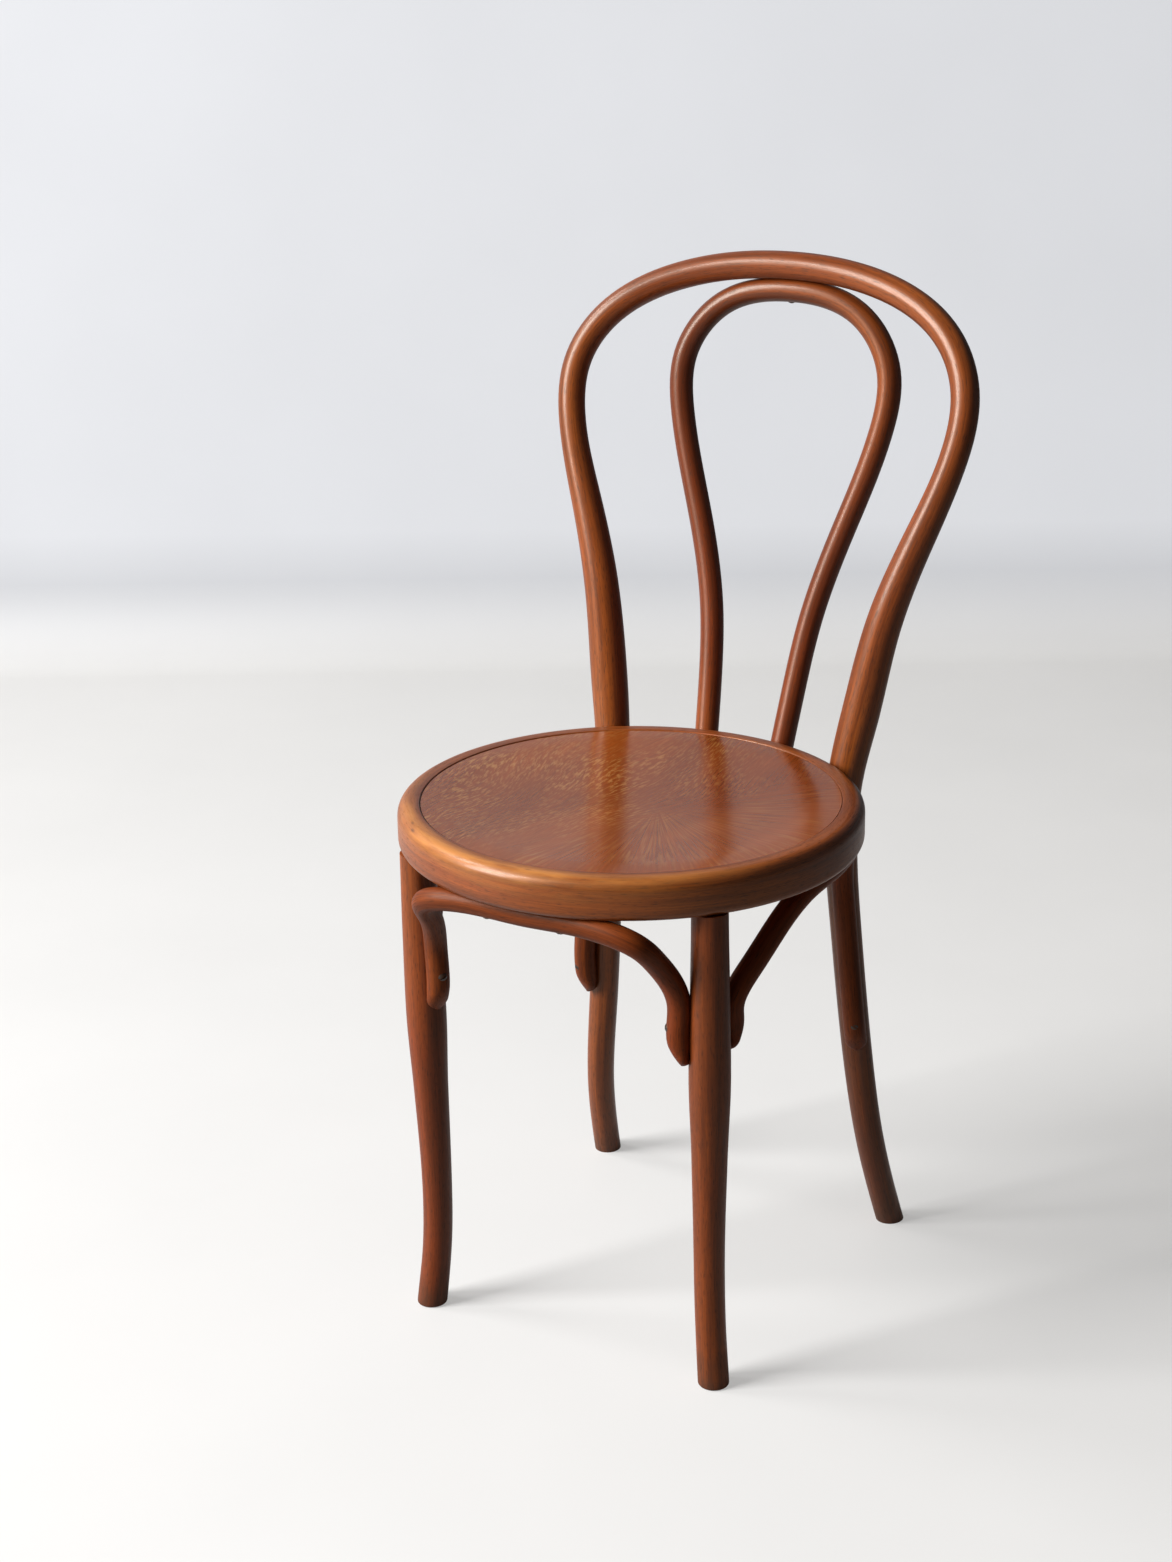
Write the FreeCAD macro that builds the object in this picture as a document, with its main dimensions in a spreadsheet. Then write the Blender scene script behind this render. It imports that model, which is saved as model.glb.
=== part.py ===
import FreeCAD, Part
import Sketcher
import math
import os
from FreeCAD import Placement, Rotation, Vector

os.makedirs("parts", exist_ok=True)
doc = FreeCAD.newDocument("bistro_chair")

# Sizes. All lengths are in millimetres and all angles in degrees.
# A "drop" is measured down from the underside of the seat ring, an "inset" inwards from the seat's
# outer edge, a "rise" up from the seat's top, a "fall" down from the crest of the outer bow.

SIZES = (
    ("seat_height", 470, "floor to the top of the seat ring"),
    ("seat_radius", 200, "outside of the seat ring"),
    ("ring_height", 36, "thickness of the bent ring"),
    ("ring_width", 35, "width of the ring's section"),
    ("ring_top_round", 10.5, "rounding of the outer top edge"),
    ("ring_low_round", 7, "rounding of the outer lower edge"),
    ("ring_edge_round", 1.2, "small rounding of the inner edges"),
    ("panel_inset", 19.5, "ring's outside to the wall of the panel's rebate"),
    ("panel_thickness", 4.5, "formed plywood"),
    ("panel_sink", 0.8, "panel's rim below the ring's top"),
    ("panel_dish", 6, "depth of the dished seat"),
    ("panel_rim", 17, "flat rim round the dish"),
    ("glue_gap", 0.15, "room for glue round a panel or a tenon"),
    ("leg_angle", 49.1, "front leg, from the front towards the side"),
    ("leg_inset", 14.8, "centre of the leg's top"),
    ("leg_lean", 3, "how far the front foot stands back of the leg's top"),
    ("leg_foot_out", 1.4, "front foot, outwards of the leg's top"),
    ("leg_foot_width", 26.8, "diameter at the floor"),
    ("leg_shin_height", 53, "where the foot starts to kick out"),
    ("leg_shin_in", 4.6, "inwards of the leg's top"),
    ("leg_shin_width", 26.1, "diameter"),
    ("leg_calf_height", 106, "where the leg bows in most"),
    ("leg_calf_in", 6.7, "inwards of the leg's top"),
    ("leg_calf_width", 26.3, "diameter"),
    ("leg_mid_height", 213, "half way up"),
    ("leg_mid_in", 4.4, "inwards of the leg's top"),
    ("leg_mid_width", 30.3, "diameter"),
    ("leg_swell_drop", 148, "where the turned swelling is thickest"),
    ("leg_swell_in", 2.6, "inwards of the leg's top"),
    ("leg_swell_width", 35, "diameter"),
    ("leg_neck_drop", 68, "where the leg narrows again"),
    ("leg_neck_in", 0.8, "inwards of the leg's top"),
    ("leg_neck_width", 32.5, "diameter"),
    ("leg_top_width", 30.5, "diameter under the ring"),
    ("tenon_width", 20, "diameter of the front leg's tenon"),
    ("tenon_length", 25, "how far it reaches into the ring"),
    ("foot_round", 2, "bevel of the feet at the floor"),
    ("post_angle", 33.8, "rear post, from the back towards the side"),
    ("post_bite", 1.6, "how deep the posts are let in at the ring"),
    ("hoop_foot_out", 35, "rear foot, outwards of the post"),
    ("hoop_foot_back", 41.5, "rear foot, behind the post"),
    ("hoop_foot_width", 25.5, "diameter at the floor"),
    ("hoop_shin_height", 93, "where the rear foot starts to kick back"),
    ("hoop_shin_out", 25.5, "outwards of the post"),
    ("hoop_shin_back", 13, "behind the post"),
    ("hoop_shin_width", 26, "diameter"),
    ("hoop_calf_height", 190, "below the bracket's foot"),
    ("hoop_calf_out", 14.7, "outwards of the post"),
    ("hoop_calf_back", 2.8, "behind the post"),
    ("hoop_calf_width", 27.4, "diameter"),
    ("hoop_knee_drop", 115, "under the seat"),
    ("hoop_knee_out", 4, "outwards of the post"),
    ("hoop_knee_ahead", 4.6, "ahead of the post"),
    ("hoop_knee_width", 28.2, "diameter"),
    ("hoop_seat_width", 32, "diameter where the post is bolted on"),
    ("hoop_waist_rise", 40, "just above the seat"),
    ("hoop_waist_half", 128.2, "half width of the bow there"),
    ("hoop_waist_back", 10.2, "behind the post"),
    ("hoop_waist_width", 34, "diameter"),
    ("hoop_back_rise", 119, "lower third of the back"),
    ("hoop_back_half", 142.4, "half width of the bow there"),
    ("hoop_back_back", 23.3, "behind the post"),
    ("hoop_back_width", 31.8, "diameter"),
    ("hoop_flare_rise", 193, "where the bow opens out"),
    ("hoop_flare_half", 166, "half width of the bow there"),
    ("hoop_flare_back", 38.9, "behind the post"),
    ("hoop_flare_width", 28, "diameter"),
    ("crest_rise", 409.5, "crest of the outer bow"),
    ("crest_back", 122.5, "crest, behind the post"),
    ("hoop_cheek_fall", 146.5, "lower end of the shoulder"),
    ("hoop_cheek_half", 189.5, "half width of the bow there"),
    ("hoop_cheek_ahead", 67.5, "ahead of the crest"),
    ("hoop_bow_width", 25, "diameter of the upper bow"),
    ("hoop_shoulder_fall", 92, "widest point"),
    ("hoop_shoulder_half", 192.5, "half width of the bow there"),
    ("hoop_shoulder_ahead", 51, "ahead of the crest"),
    ("hoop_turn_fall", 54, "where the shoulder turns in"),
    ("hoop_turn_half", 173, "half width of the bow there"),
    ("hoop_turn_ahead", 34, "ahead of the crest"),
    ("hoop_brow_fall", 12.5, "beside the crest"),
    ("hoop_brow_half", 99.2, "half width of the bow there"),
    ("hoop_brow_ahead", 8, "ahead of the crest"),
    ("bow_width", 21.6, "diameter of the inner bow"),
    ("bow_bite", 2, "how deep its ends are let in at the ring"),
    ("bow_end_half", 37, "half distance of its two ends"),
    ("bow_low_rise", 42, "above the seat"),
    ("bow_low_half", 43.2, "half width there"),
    ("bow_low_back", 24, "behind its end"),
    ("bow_back_rise", 100, "above the seat"),
    ("bow_back_half", 50.5, "half width there"),
    ("bow_back_back", 40, "behind its end"),
    ("bow_flare_rise", 178, "where it opens out"),
    ("bow_flare_half", 71.5, "half width there"),
    ("bow_flare_back", 58.5, "behind its end"),
    ("bow_cheek_fall", 137, "under the outer crest"),
    ("bow_cheek_half", 100.2, "half width there"),
    ("bow_cheek_ahead", 21, "ahead of its own crest"),
    ("bow_shoulder_fall", 88, "under the outer crest"),
    ("bow_shoulder_half", 102.4, "half width there"),
    ("bow_shoulder_ahead", 12, "ahead of its own crest"),
    ("bow_brow_fall", 39.5, "under the outer crest"),
    ("bow_brow_half", 69, "half width there"),
    ("bow_brow_ahead", 2.5, "ahead of its own crest"),
    ("crest_tilt", 7.4, "lean of the line through both crests"),
    ("crest_bite", 0.8, "how deep the inner crest is let in at the outer one"),
    ("rail_width", 20, "diameter of the bent brackets"),
    ("rail_flat", 0.8, "flat planed on a bracket where it lies under the ring"),
    ("rail_bite", 1.5, "hollow in a bracket's foot that fits the leg"),
    ("scarf_length", 24, "slanted end of a bracket's foot"),
    ("scarf_tip", 8, "diameter left at the tip"),
    ("front_tip_drop", 136, "end of the front bracket's foot"),
    ("front_foot_turn", 28, "its place round the leg, forwards from the inner side"),
    ("front_heel_drop", 83, "where it leaves the leg"),
    ("front_elbow_drop", 41, "below the corner"),
    ("front_elbow_inset", 13, "from the seat's outer edge"),
    ("front_elbow_angle", 35.5, "from the front towards the side"),
    ("front_corner_drop", 20, "corner of the front bracket"),
    ("front_corner_inset", 1, "from the seat's outer edge"),
    ("front_corner_angle", 30.5, "from the front towards the side"),
    ("front_run_inset", 10.5, "start of the run under the ring"),
    ("front_run_angle", 20, "from the front towards the side"),
    ("front_middle_inset", 21.5, "middle of the front bracket"),
    ("side_tip_drop", 128, "end of the side bracket's front foot"),
    ("side_foot_turn", 18, "its place round the leg, outwards from the rear side"),
    ("side_heel_drop", 92, "where it leaves the front leg"),
    ("side_calf_drop", 60, "long front arm"),
    ("side_calf_inset", 26.5, "from the seat's outer edge"),
    ("side_calf_angle", 26, "forwards from the middle of the side"),
    ("side_arm_drop", 29.5, "long front arm"),
    ("side_arm_inset", 29, "from the seat's outer edge"),
    ("side_arm_angle", 14, "forwards from the middle of the side"),
    ("side_rise_drop", 14, "end of the long front arm"),
    ("side_rise_inset", 27.5, "from the seat's outer edge"),
    ("side_rise_angle", 3.5, "forwards from the middle of the side"),
    ("side_run_inset", 23, "start of the run under the ring"),
    ("side_run_angle", 7, "backwards from the middle of the side"),
    ("side_end_inset", 12, "end of the run under the ring"),
    ("side_end_angle", 29, "backwards from the middle of the side"),
    ("side_corner_drop", 19, "rear corner"),
    ("side_corner_inset", 5, "from the seat's outer edge"),
    ("side_corner_angle", 40.5, "backwards from the middle of the side"),
    ("side_elbow_drop", 46, "below the rear corner"),
    ("side_elbow_inset", 2.5, "from the seat's outer edge"),
    ("side_elbow_angle", 47.5, "backwards from the middle of the side"),
    ("rear_heel_drop", 95, "where the bracket meets the rear leg"),
    ("rear_foot_drop", 150, "half way down the rear foot"),
    ("rear_tip_drop", 238, "end of the side bracket's rear foot"),
    ("rear_foot_turn", 27, "its place round the rear leg, outwards from the front side"),
    ("screw_width", 4.5, "shank of the wood screws"),
    ("screw_head_width", 9.5, "domed head"),
    ("screw_head_height", 3, "domed head"),
    ("foot_screw_length", 34, "bracket's foot to leg"),
    ("front_screw_drop", 103, "screw in the front bracket's foot"),
    ("side_screw_drop", 96, "screw in the side bracket's front foot"),
    ("rear_screw_drop", 176, "upper screw in the side bracket's rear foot"),
    ("rear_screw_step", 33, "upper to lower screw"),
    ("rail_screw_length", 36, "bracket to ring"),
    ("front_rail_screw_angle", 11, "to each side of the front"),
    ("side_rail_screw_angle", 10, "backwards from the middle of the side"),
    ("side_rail_screw_step", 15, "to the second screw"),
    ("bow_screw_length", 40, "inner bow to ring"),
    ("bow_screw_drop", -17, "height of its screws at the ring"),
    ("crest_screw_length", 33, "inner crest to outer crest"),
    ("bolt_width", 6, "rear bolts"),
    ("bolt_head_width", 14, "domed head"),
    ("bolt_head_height", 4, "domed head"),
    ("bolt_drop", -17, "height of the bolts at the ring"),
    ("nut_width", 10, "across the flats"),
    ("nut_height", 5, "square to the ring"),
    ("washer_width", 16, "diameter"),
    ("washer_thickness", 1.2, "under head and nut"),
    ("drill_gap", 0.1, "room round a shank or a head"),
    ("spot_depth", 1.6, "flat seat cut for a screw head in a round rod"),
)

sheet = doc.addObject("Spreadsheet::Sheet", "Sizes")
for row, (alias, value, note) in enumerate(SIZES, start=1):
    sheet.set("A%d" % row, str(value))
    sheet.setAlias("A%d" % row, alias)
    sheet.set("B%d" % row, note)
doc.recompute()


def size(alias):
    """The value of one cell of the sheet."""
    return float(sheet.get(alias))


LONG_STEP = 16.0           # distance of two sections where a leg or a bow tapers
SHORT_STEP = 6.0           # the same at the tip of a bracket's foot
EVEN = 0.001               # change of diameter below which a stretch of rod is even
STRAIGHT = 0.0001          # share of its length by which a straight stretch may bend
BEYOND = 14.0              # how far a rod is made past the plane that cuts its end
FAR = 1500.0               # larger than the chair
HALVINGS = 40              # of a stretch, until a place on it is exact
UP = Vector(0, 0, 1)


# Places that several pieces share

ring_base = size("seat_height") - size("ring_height")
bore_radius = size("seat_radius") - size("ring_width")
rebate_radius = size("seat_radius") - size("panel_inset")
ledge_height = size("ring_height") - size("panel_thickness") - size("panel_sink")
post_radius = size("seat_radius") + size("hoop_seat_width") / 2 - size("post_bite")
post_x = post_radius * math.sin(math.radians(size("post_angle")))
post_y = post_radius * math.cos(math.radians(size("post_angle")))
crest_z = size("seat_height") + size("crest_rise")
crest_y = post_y + size("crest_back")
crest_gap = (size("hoop_bow_width") + size("bow_width")) / 2 - size("crest_bite")
crest_line = Vector(0, math.sin(math.radians(size("crest_tilt"))),
                    -math.cos(math.radians(size("crest_tilt"))))
bow_crest = Vector(0, crest_y, crest_z) + crest_line * crest_gap

# The origin lies on the floor under the middle of the chair, and the seat's axis lies ahead of it
seat_y = (size("seat_radius") - bow_crest.y - size("bow_width") / 2) / 2


def place(x, y, z):
    """A point given from the seat's axis and the floor."""
    return Vector(x, y + seat_y, z)


def round_seat(inset, degrees, drop):
    """A point under the ring, degrees counted from the right side towards the back."""
    radius = size("seat_radius") - inset
    turn = math.radians(degrees)
    return place(radius * math.cos(turn), radius * math.sin(turn), ring_base - drop)


# Bent rods

def slopes(knots, values):
    """Slopes of the smoothest curve through the values (a natural cubic spline)."""
    last = len(knots) - 1
    gaps = [knots[i + 1] - knots[i] for i in range(last)]
    rates = [(values[i + 1] - values[i]) / gaps[i] for i in range(last)]
    lower = [0.0] + [1 / gaps[i] for i in range(last)]
    upper = [1 / gaps[i] for i in range(last)] + [0.0]
    middle = [2 * (lower[i] + upper[i]) for i in range(last + 1)]
    pull = [3 * rates[0] / gaps[0]]
    pull += [3 * (rates[i - 1] / gaps[i - 1] + rates[i] / gaps[i]) for i in range(1, last)]
    pull += [3 * rates[-1] / gaps[-1]]
    for i in range(1, last + 1):
        share = lower[i] / middle[i - 1]
        middle[i] -= share * upper[i - 1]
        pull[i] -= share * pull[i - 1]
    result = [0.0] * (last + 1)
    result[last] = pull[last] / middle[last]
    for i in range(last - 1, -1, -1):
        result[i] = (pull[i] - upper[i] * result[i + 1]) / middle[i]
    return result


def steady_slopes(knots, values):
    """Slopes of a curve through the values that never swings past them."""
    last = len(knots) - 1
    rates = [(values[i + 1] - values[i]) / (knots[i + 1] - knots[i]) for i in range(last)]
    result = [rates[0]]
    for before, after in zip(rates, rates[1:]):
        same_way = before * after > 0
        result.append(2 * before * after / (before + after) if same_way else 0.0)
    return result + [rates[-1]]


class Spine:
    """A smooth line through stations, each a point and the rod's diameter there."""

    def __init__(self, stations, whole=True):
        points = [station[0] for station in stations]
        self.knots = [0.0]
        for before, after in zip(points, points[1:]):
            self.knots.append(self.knots[-1] + before.distanceToPoint(after))
        self.rows = [(p.x, p.y, p.z, d) for p, d in stations]
        columns = [slopes(self.knots, [row[k] for row in self.rows]) for k in range(3)]
        columns.append(steady_slopes(self.knots, [row[3] for row in self.rows]))
        self.rates = list(zip(*columns))
        self.first = 0.0 if whole else self.knots[-1] / 2

    def at(self, where):
        """Point, direction and diameter at a distance along the line."""
        i = 0
        while i < len(self.knots) - 2 and where > self.knots[i + 1]:
            i += 1
        gap = self.knots[i + 1] - self.knots[i]
        part = (where - self.knots[i]) / gap
        value = []
        slope = []
        for a, b, s0, s1 in zip(self.rows[i], self.rows[i + 1], self.rates[i], self.rates[i + 1]):
            bend = 3 * (b - a) - gap * (2 * s0 + s1)
            twist = gap * (s0 + s1) - 2 * (b - a)
            value.append(a + part * (gap * s0 + part * (bend + part * twist)))
            slope.append(s0 + part * (2 * bend + 3 * part * twist) / gap)
        return Vector(*value[:3]), Vector(*slope[:3]).normalize(), value[3]

    def search(self, measure, wanted):
        """The same where a measure of the point, which grows or falls steadily, is as wanted."""
        low, high = self.first, self.knots[-1]
        growing = measure(self.at(low)[0]) < measure(self.at(high)[0])
        for _ in range(HALVINGS):
            middle = (low + high) / 2
            if (measure(self.at(middle)[0]) < wanted) == growing:
                low = middle
            else:
                high = middle
        return self.at(middle)

    def at_height(self, z):
        """The same at a height: on a leg, or on the leg of the left side of a bow."""
        return self.search(lambda point: point.z, z)

    def at_turn(self, degrees):
        """The same at an angle round the seat, from the left side towards the back."""
        return self.search(lambda point: math.degrees(math.atan2(point.y - seat_y, point.x)),
                           degrees)

    def taper(self, start, end, step):
        """A tapered stretch of rod: a ruled loft through circles that stand square to the line."""
        count = max(1, round((end - start) / step))
        wires = []
        for k in range(count + 1):
            centre, along, width = self.at(start + (end - start) * k / count)
            wires.append(circle(centre, along, width))
        return Part.makeLoft(wires, True, True)

    def even(self, knots):
        """An even stretch of rod: a pipe bent in arcs from station to station."""
        edges = []
        for start, end in zip(knots, knots[1:]):
            first, heading, _ = self.at(start)
            last, onward, _ = self.at(end)
            edges += two_arcs(first, heading, last, onward)
        first, heading, width = self.at(knots[0])
        return Part.Wire(edges).makePipeShell([circle(first, heading, width)], True, False, 1)

    def solid(self, step=LONG_STEP):
        """The rod, from its even and its tapered stretches."""
        stretches = []
        gathered = [self.knots[0]]
        for start, end in zip(self.knots, self.knots[1:]):
            if abs(self.at(end)[2] - self.at(start)[2]) > EVEN:
                if len(gathered) > 1:
                    stretches.append(self.even(gathered))
                stretches.append(self.taper(start, end, step))
                gathered = [end]
            else:
                gathered.append(end)
        if len(gathered) > 1:
            stretches.append(self.even(gathered))
        return stretches[0].multiFuse(stretches[1:])


def circle(centre, along, width):
    """A round section of a rod."""
    return Part.Wire(Part.makeCircle(width / 2, centre, along))


def tangent_arc(start, heading, end):
    """The arc that leaves a point in a direction and ends at another point."""
    chord = end - start
    side = heading.cross(chord)
    if side.Length < STRAIGHT * chord.Length:
        return Part.LineSegment(start, end).toShape()
    inward = side.cross(heading).normalize()
    radius = chord.Length ** 2 / (2 * chord.dot(inward))
    centre = start + inward * radius
    middle = centre + ((start + end) / 2 - centre).normalize() * radius
    return Part.Arc(start, middle, end).toShape()


def two_arcs(start, heading, end, onward):
    """Two arcs from point to point, tangent to each other and to a direction at each point."""
    chord = end - start
    turn = 2 * (1 - heading.dot(onward))
    ahead = 2 * chord.dot(heading + onward)
    length = chord.Length ** 2
    reach = 2 * length / (ahead + math.sqrt(ahead ** 2 + 4 * turn * length))
    before = start + heading * reach
    after = end - onward * reach
    middle = (before + after) / 2
    across = (after - before).normalize()
    return [tangent_arc(start, heading, middle), tangent_arc(middle, across, end)]


def mirrored(stations):
    """Stations of a whole rod, from those of its right half that end in the middle plane."""
    left = [(Vector(-p.x, p.y, p.z), width) for p, width in stations]
    return left + stations[-2::-1]


def run_on(stations):
    """Stations with one more past each end that a plane cuts off."""
    line = Spine(stations)
    start, ahead, first = line.at(0.0)
    end, onward, last = line.at(line.knots[-1])
    return [(start - ahead * BEYOND, first)] + stations + [(end + onward * BEYOND, last)]


def both(shapes):
    """Shapes and their mirror images on the other side of the chair."""
    return shapes + [s.mirror(Vector(0, 0, 0), Vector(1, 0, 0)) for s in shapes]


def slab(low, high):
    """Everything between two heights."""
    return Part.makeBox(2 * FAR, 2 * FAR, high - low, Vector(-FAR, -FAR, low))


def drill(start, direction, length, width):
    """A round hole."""
    return Part.makeCylinder(width / 2, length, start, direction)


def turned(edges):
    """A solid turned about the Z axis from its half outline."""
    face = Part.Face(Part.Wire(edges))
    return face.revolve(Vector(0, 0, 0), Vector(0, 0, 1), 360)


def segment(x0, z0, x1, z1):
    """One straight edge of a half outline."""
    return Part.LineSegment(Vector(x0, 0, z0), Vector(x1, 0, z1)).toShape()


def foot_beveller(line):
    """What is cut away to bevel the edge of a foot at the floor."""
    centre, _, width = line.at_height(0)
    inner = width / 2 - size("foot_round")
    corners = [Vector(inner, 0, 0), Vector(inner + BEYOND, 0, BEYOND),
               Vector(inner + BEYOND, 0, -BEYOND), Vector(inner, 0, -BEYOND), Vector(inner, 0, 0)]
    edges = [Part.LineSegment(a, b).toShape() for a, b in zip(corners, corners[1:])]
    beveller = turned(edges)
    beveller.translate(centre)
    return beveller


def solid_piece(name, shape):
    """A sub-part that is one shape."""
    piece = doc.addObject("Part::Feature", name)
    piece.Label = name
    piece.Shape = shape
    return piece


def cut_piece(name, blank, tools):
    """A sub-part cut from its blank by its holes, seats and hollows."""
    if not hasattr(blank, "Shape"):
        blank = solid_piece(name + "_blank", blank)
    tool = doc.addObject("Part::MultiFuse", name + "_tools")
    tool.Shapes = [solid_piece("%s_tool_%d" % (name, k), t) for k, t in enumerate(tools, start=1)]
    piece = doc.addObject("Part::Cut", name)
    piece.Label = name
    piece.Base = blank
    piece.Tool = tool
    return piece


def mirror_piece(name, source):
    """The same sub-part on the other side."""
    piece = doc.addObject("Part::Mirroring", name)
    piece.Label = name
    piece.Source = source
    piece.Normal = Vector(1, 0, 0)
    return piece


# Front legs, turned and slightly bent

leg_turn = math.radians(size("leg_angle"))
leg_out = Vector(math.sin(leg_turn), -math.cos(leg_turn), 0)
leg_back = Vector(math.cos(leg_turn), math.sin(leg_turn), 0)
leg_top = place(0, 0, ring_base) + leg_out * (size("seat_radius") - size("leg_inset"))


def leg_station(height, outward, width):
    """A station of the front leg, leaning back a little towards the floor."""
    lean = size("leg_lean") * (1 - height / ring_base)
    foot = Vector(leg_top.x, leg_top.y, height)
    return foot + leg_out * outward + leg_back * lean, width


leg_line = Spine([
    leg_station(-BEYOND, size("leg_foot_out") + 1.5, size("leg_foot_width")),
    leg_station(0, size("leg_foot_out"), size("leg_foot_width")),
    leg_station(size("leg_shin_height"), -size("leg_shin_in"), size("leg_shin_width")),
    leg_station(size("leg_calf_height"), -size("leg_calf_in"), size("leg_calf_width")),
    leg_station(size("leg_mid_height"), -size("leg_mid_in"), size("leg_mid_width")),
    leg_station(ring_base - size("leg_swell_drop"), -size("leg_swell_in"), size("leg_swell_width")),
    leg_station(ring_base - size("leg_neck_drop"), -size("leg_neck_in"), size("leg_neck_width")),
    leg_station(ring_base, 0, size("leg_top_width")),
    leg_station(ring_base + BEYOND, 0, size("leg_top_width")),
])
leg_shaft = leg_line.solid().common(slab(0, ring_base)).cut(foot_beveller(leg_line))
tenon = drill(leg_top, UP, size("tenon_length"), size("tenon_width"))
leg_shape = leg_shaft.fuse(tenon)

# Rear hoop: both rear legs and the outer bow, bent from one rod


def post_station(out, back, z, width):
    """A station of the rear leg, given from the post at the seat."""
    return place(post_x + out, post_y + back, z), width


def bow_station(half, back, rise, width):
    """A station of the lower back."""
    return place(half, post_y + back, size("seat_height") + rise), width


def crest_station(half, ahead, fall, width):
    """A station of the upper bow, given from the crest."""
    return place(half, crest_y - ahead, crest_z - fall), width


hoop_half = [
    post_station(size("hoop_foot_out"), size("hoop_foot_back"), 0, size("hoop_foot_width")),
    post_station(size("hoop_shin_out"), size("hoop_shin_back"), size("hoop_shin_height"),
                 size("hoop_shin_width")),
    post_station(size("hoop_calf_out"), size("hoop_calf_back"), size("hoop_calf_height"),
                 size("hoop_calf_width")),
    post_station(size("hoop_knee_out"), -size("hoop_knee_ahead"),
                 ring_base - size("hoop_knee_drop"), size("hoop_knee_width")),
    post_station(0, 0, ring_base + size("ring_height") / 2, size("hoop_seat_width")),
    bow_station(size("hoop_waist_half"), size("hoop_waist_back"), size("hoop_waist_rise"),
                size("hoop_waist_width")),
    bow_station(size("hoop_back_half"), size("hoop_back_back"), size("hoop_back_rise"),
                size("hoop_back_width")),
    bow_station(size("hoop_flare_half"), size("hoop_flare_back"), size("hoop_flare_rise"),
                size("hoop_flare_width")),
    crest_station(size("hoop_cheek_half"), size("hoop_cheek_ahead"), size("hoop_cheek_fall"),
                  size("hoop_bow_width")),
    crest_station(size("hoop_shoulder_half"), size("hoop_shoulder_ahead"),
                  size("hoop_shoulder_fall"), size("hoop_bow_width")),
    crest_station(size("hoop_turn_half"), size("hoop_turn_ahead"), size("hoop_turn_fall"),
                  size("hoop_bow_width")),
    crest_station(size("hoop_brow_half"), size("hoop_brow_ahead"), size("hoop_brow_fall"),
                  size("hoop_bow_width")),
    crest_station(0, 0, 0, size("hoop_bow_width")),
]
hoop_line = Spine(run_on(mirrored(hoop_half)), whole=False)
hoop_rod = hoop_line.solid().common(slab(0, FAR)).cut(both([foot_beveller(hoop_line)]))
seat_wall = Part.makeCylinder(size("seat_radius"), size("ring_height"), place(0, 0, ring_base))

# Inner bow, let in at the ring and under the crest of the outer bow

bow_end_radius = size("seat_radius") + size("bow_width") / 2 - size("bow_bite")
bow_end_y = math.sqrt(bow_end_radius ** 2 - size("bow_end_half") ** 2)


def bow_low_station(half, back, rise):
    """A station of the inner bow, given from its end at the ring."""
    return place(half, bow_end_y + back, size("seat_height") + rise), size("bow_width")


def bow_high_station(half, ahead, fall):
    """A station of the inner bow, given from its own crest."""
    return place(half, bow_crest.y - ahead, crest_z - fall), size("bow_width")


bow_half = [
    bow_low_station(size("bow_end_half"), 0, -size("ring_height")),
    bow_low_station(size("bow_low_half"), size("bow_low_back"), size("bow_low_rise")),
    bow_low_station(size("bow_back_half"), size("bow_back_back"), size("bow_back_rise")),
    bow_low_station(size("bow_flare_half"), size("bow_flare_back"), size("bow_flare_rise")),
    bow_high_station(size("bow_cheek_half"), size("bow_cheek_ahead"), size("bow_cheek_fall")),
    bow_high_station(size("bow_shoulder_half"), size("bow_shoulder_ahead"),
                     size("bow_shoulder_fall")),
    bow_high_station(size("bow_brow_half"), size("bow_brow_ahead"), size("bow_brow_fall")),
    (place(0, bow_crest.y, bow_crest.z), size("bow_width")),
]
bow_line = Spine(run_on(mirrored(bow_half)), whole=False)
bow_rod = bow_line.solid().common(slab(ring_base, FAR))

# Brackets


def beside(line, z, turn, width):
    """A station beside a leg, turned round its axis, with the rod let in by the bite."""
    centre, _, leg_width = line.at_height(z)
    reach = (leg_width + width) / 2 - size("rail_bite")
    return centre + turn * reach, width


def direction(degrees):
    """A level direction, degrees counted from the right side towards the back."""
    return Vector(math.cos(math.radians(degrees)), math.sin(math.radians(degrees)), 0)


def foot_stations(line, tip_drop, heel_drops, turn):
    """The foot of a bracket, from its slanted tip up to its heel."""
    tip = ring_base - tip_drop
    rail = size("rail_width")
    slant = tip + size("scarf_length")
    result = [beside(line, tip, turn, size("scarf_tip"))]
    result.append(beside(line, slant, turn, rail))
    for drop in heel_drops:
        result.append(beside(line, ring_base - drop, turn, rail))
    return result


rail = size("rail_width")
run_drop = rail / 2 - size("rail_flat")
front_turn = direction(180 + size("front_foot_turn"))
side_turn = direction(90 - size("side_foot_turn"))
rear_turn = direction(-90 + size("rear_foot_turn"))

front_half = foot_stations(leg_line, size("front_tip_drop"), [size("front_heel_drop")],
                           front_turn)
front_half += [
    (round_seat(size("front_elbow_inset"), size("front_elbow_angle") - 90,
                size("front_elbow_drop")), rail),
    (round_seat(size("front_corner_inset"), size("front_corner_angle") - 90,
                size("front_corner_drop")), rail),
    (round_seat(size("front_run_inset"), size("front_run_angle") - 90, run_drop), rail),
    (round_seat(size("front_middle_inset"), -90, run_drop), rail),
]
front_line = Spine(mirrored(front_half))

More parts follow.
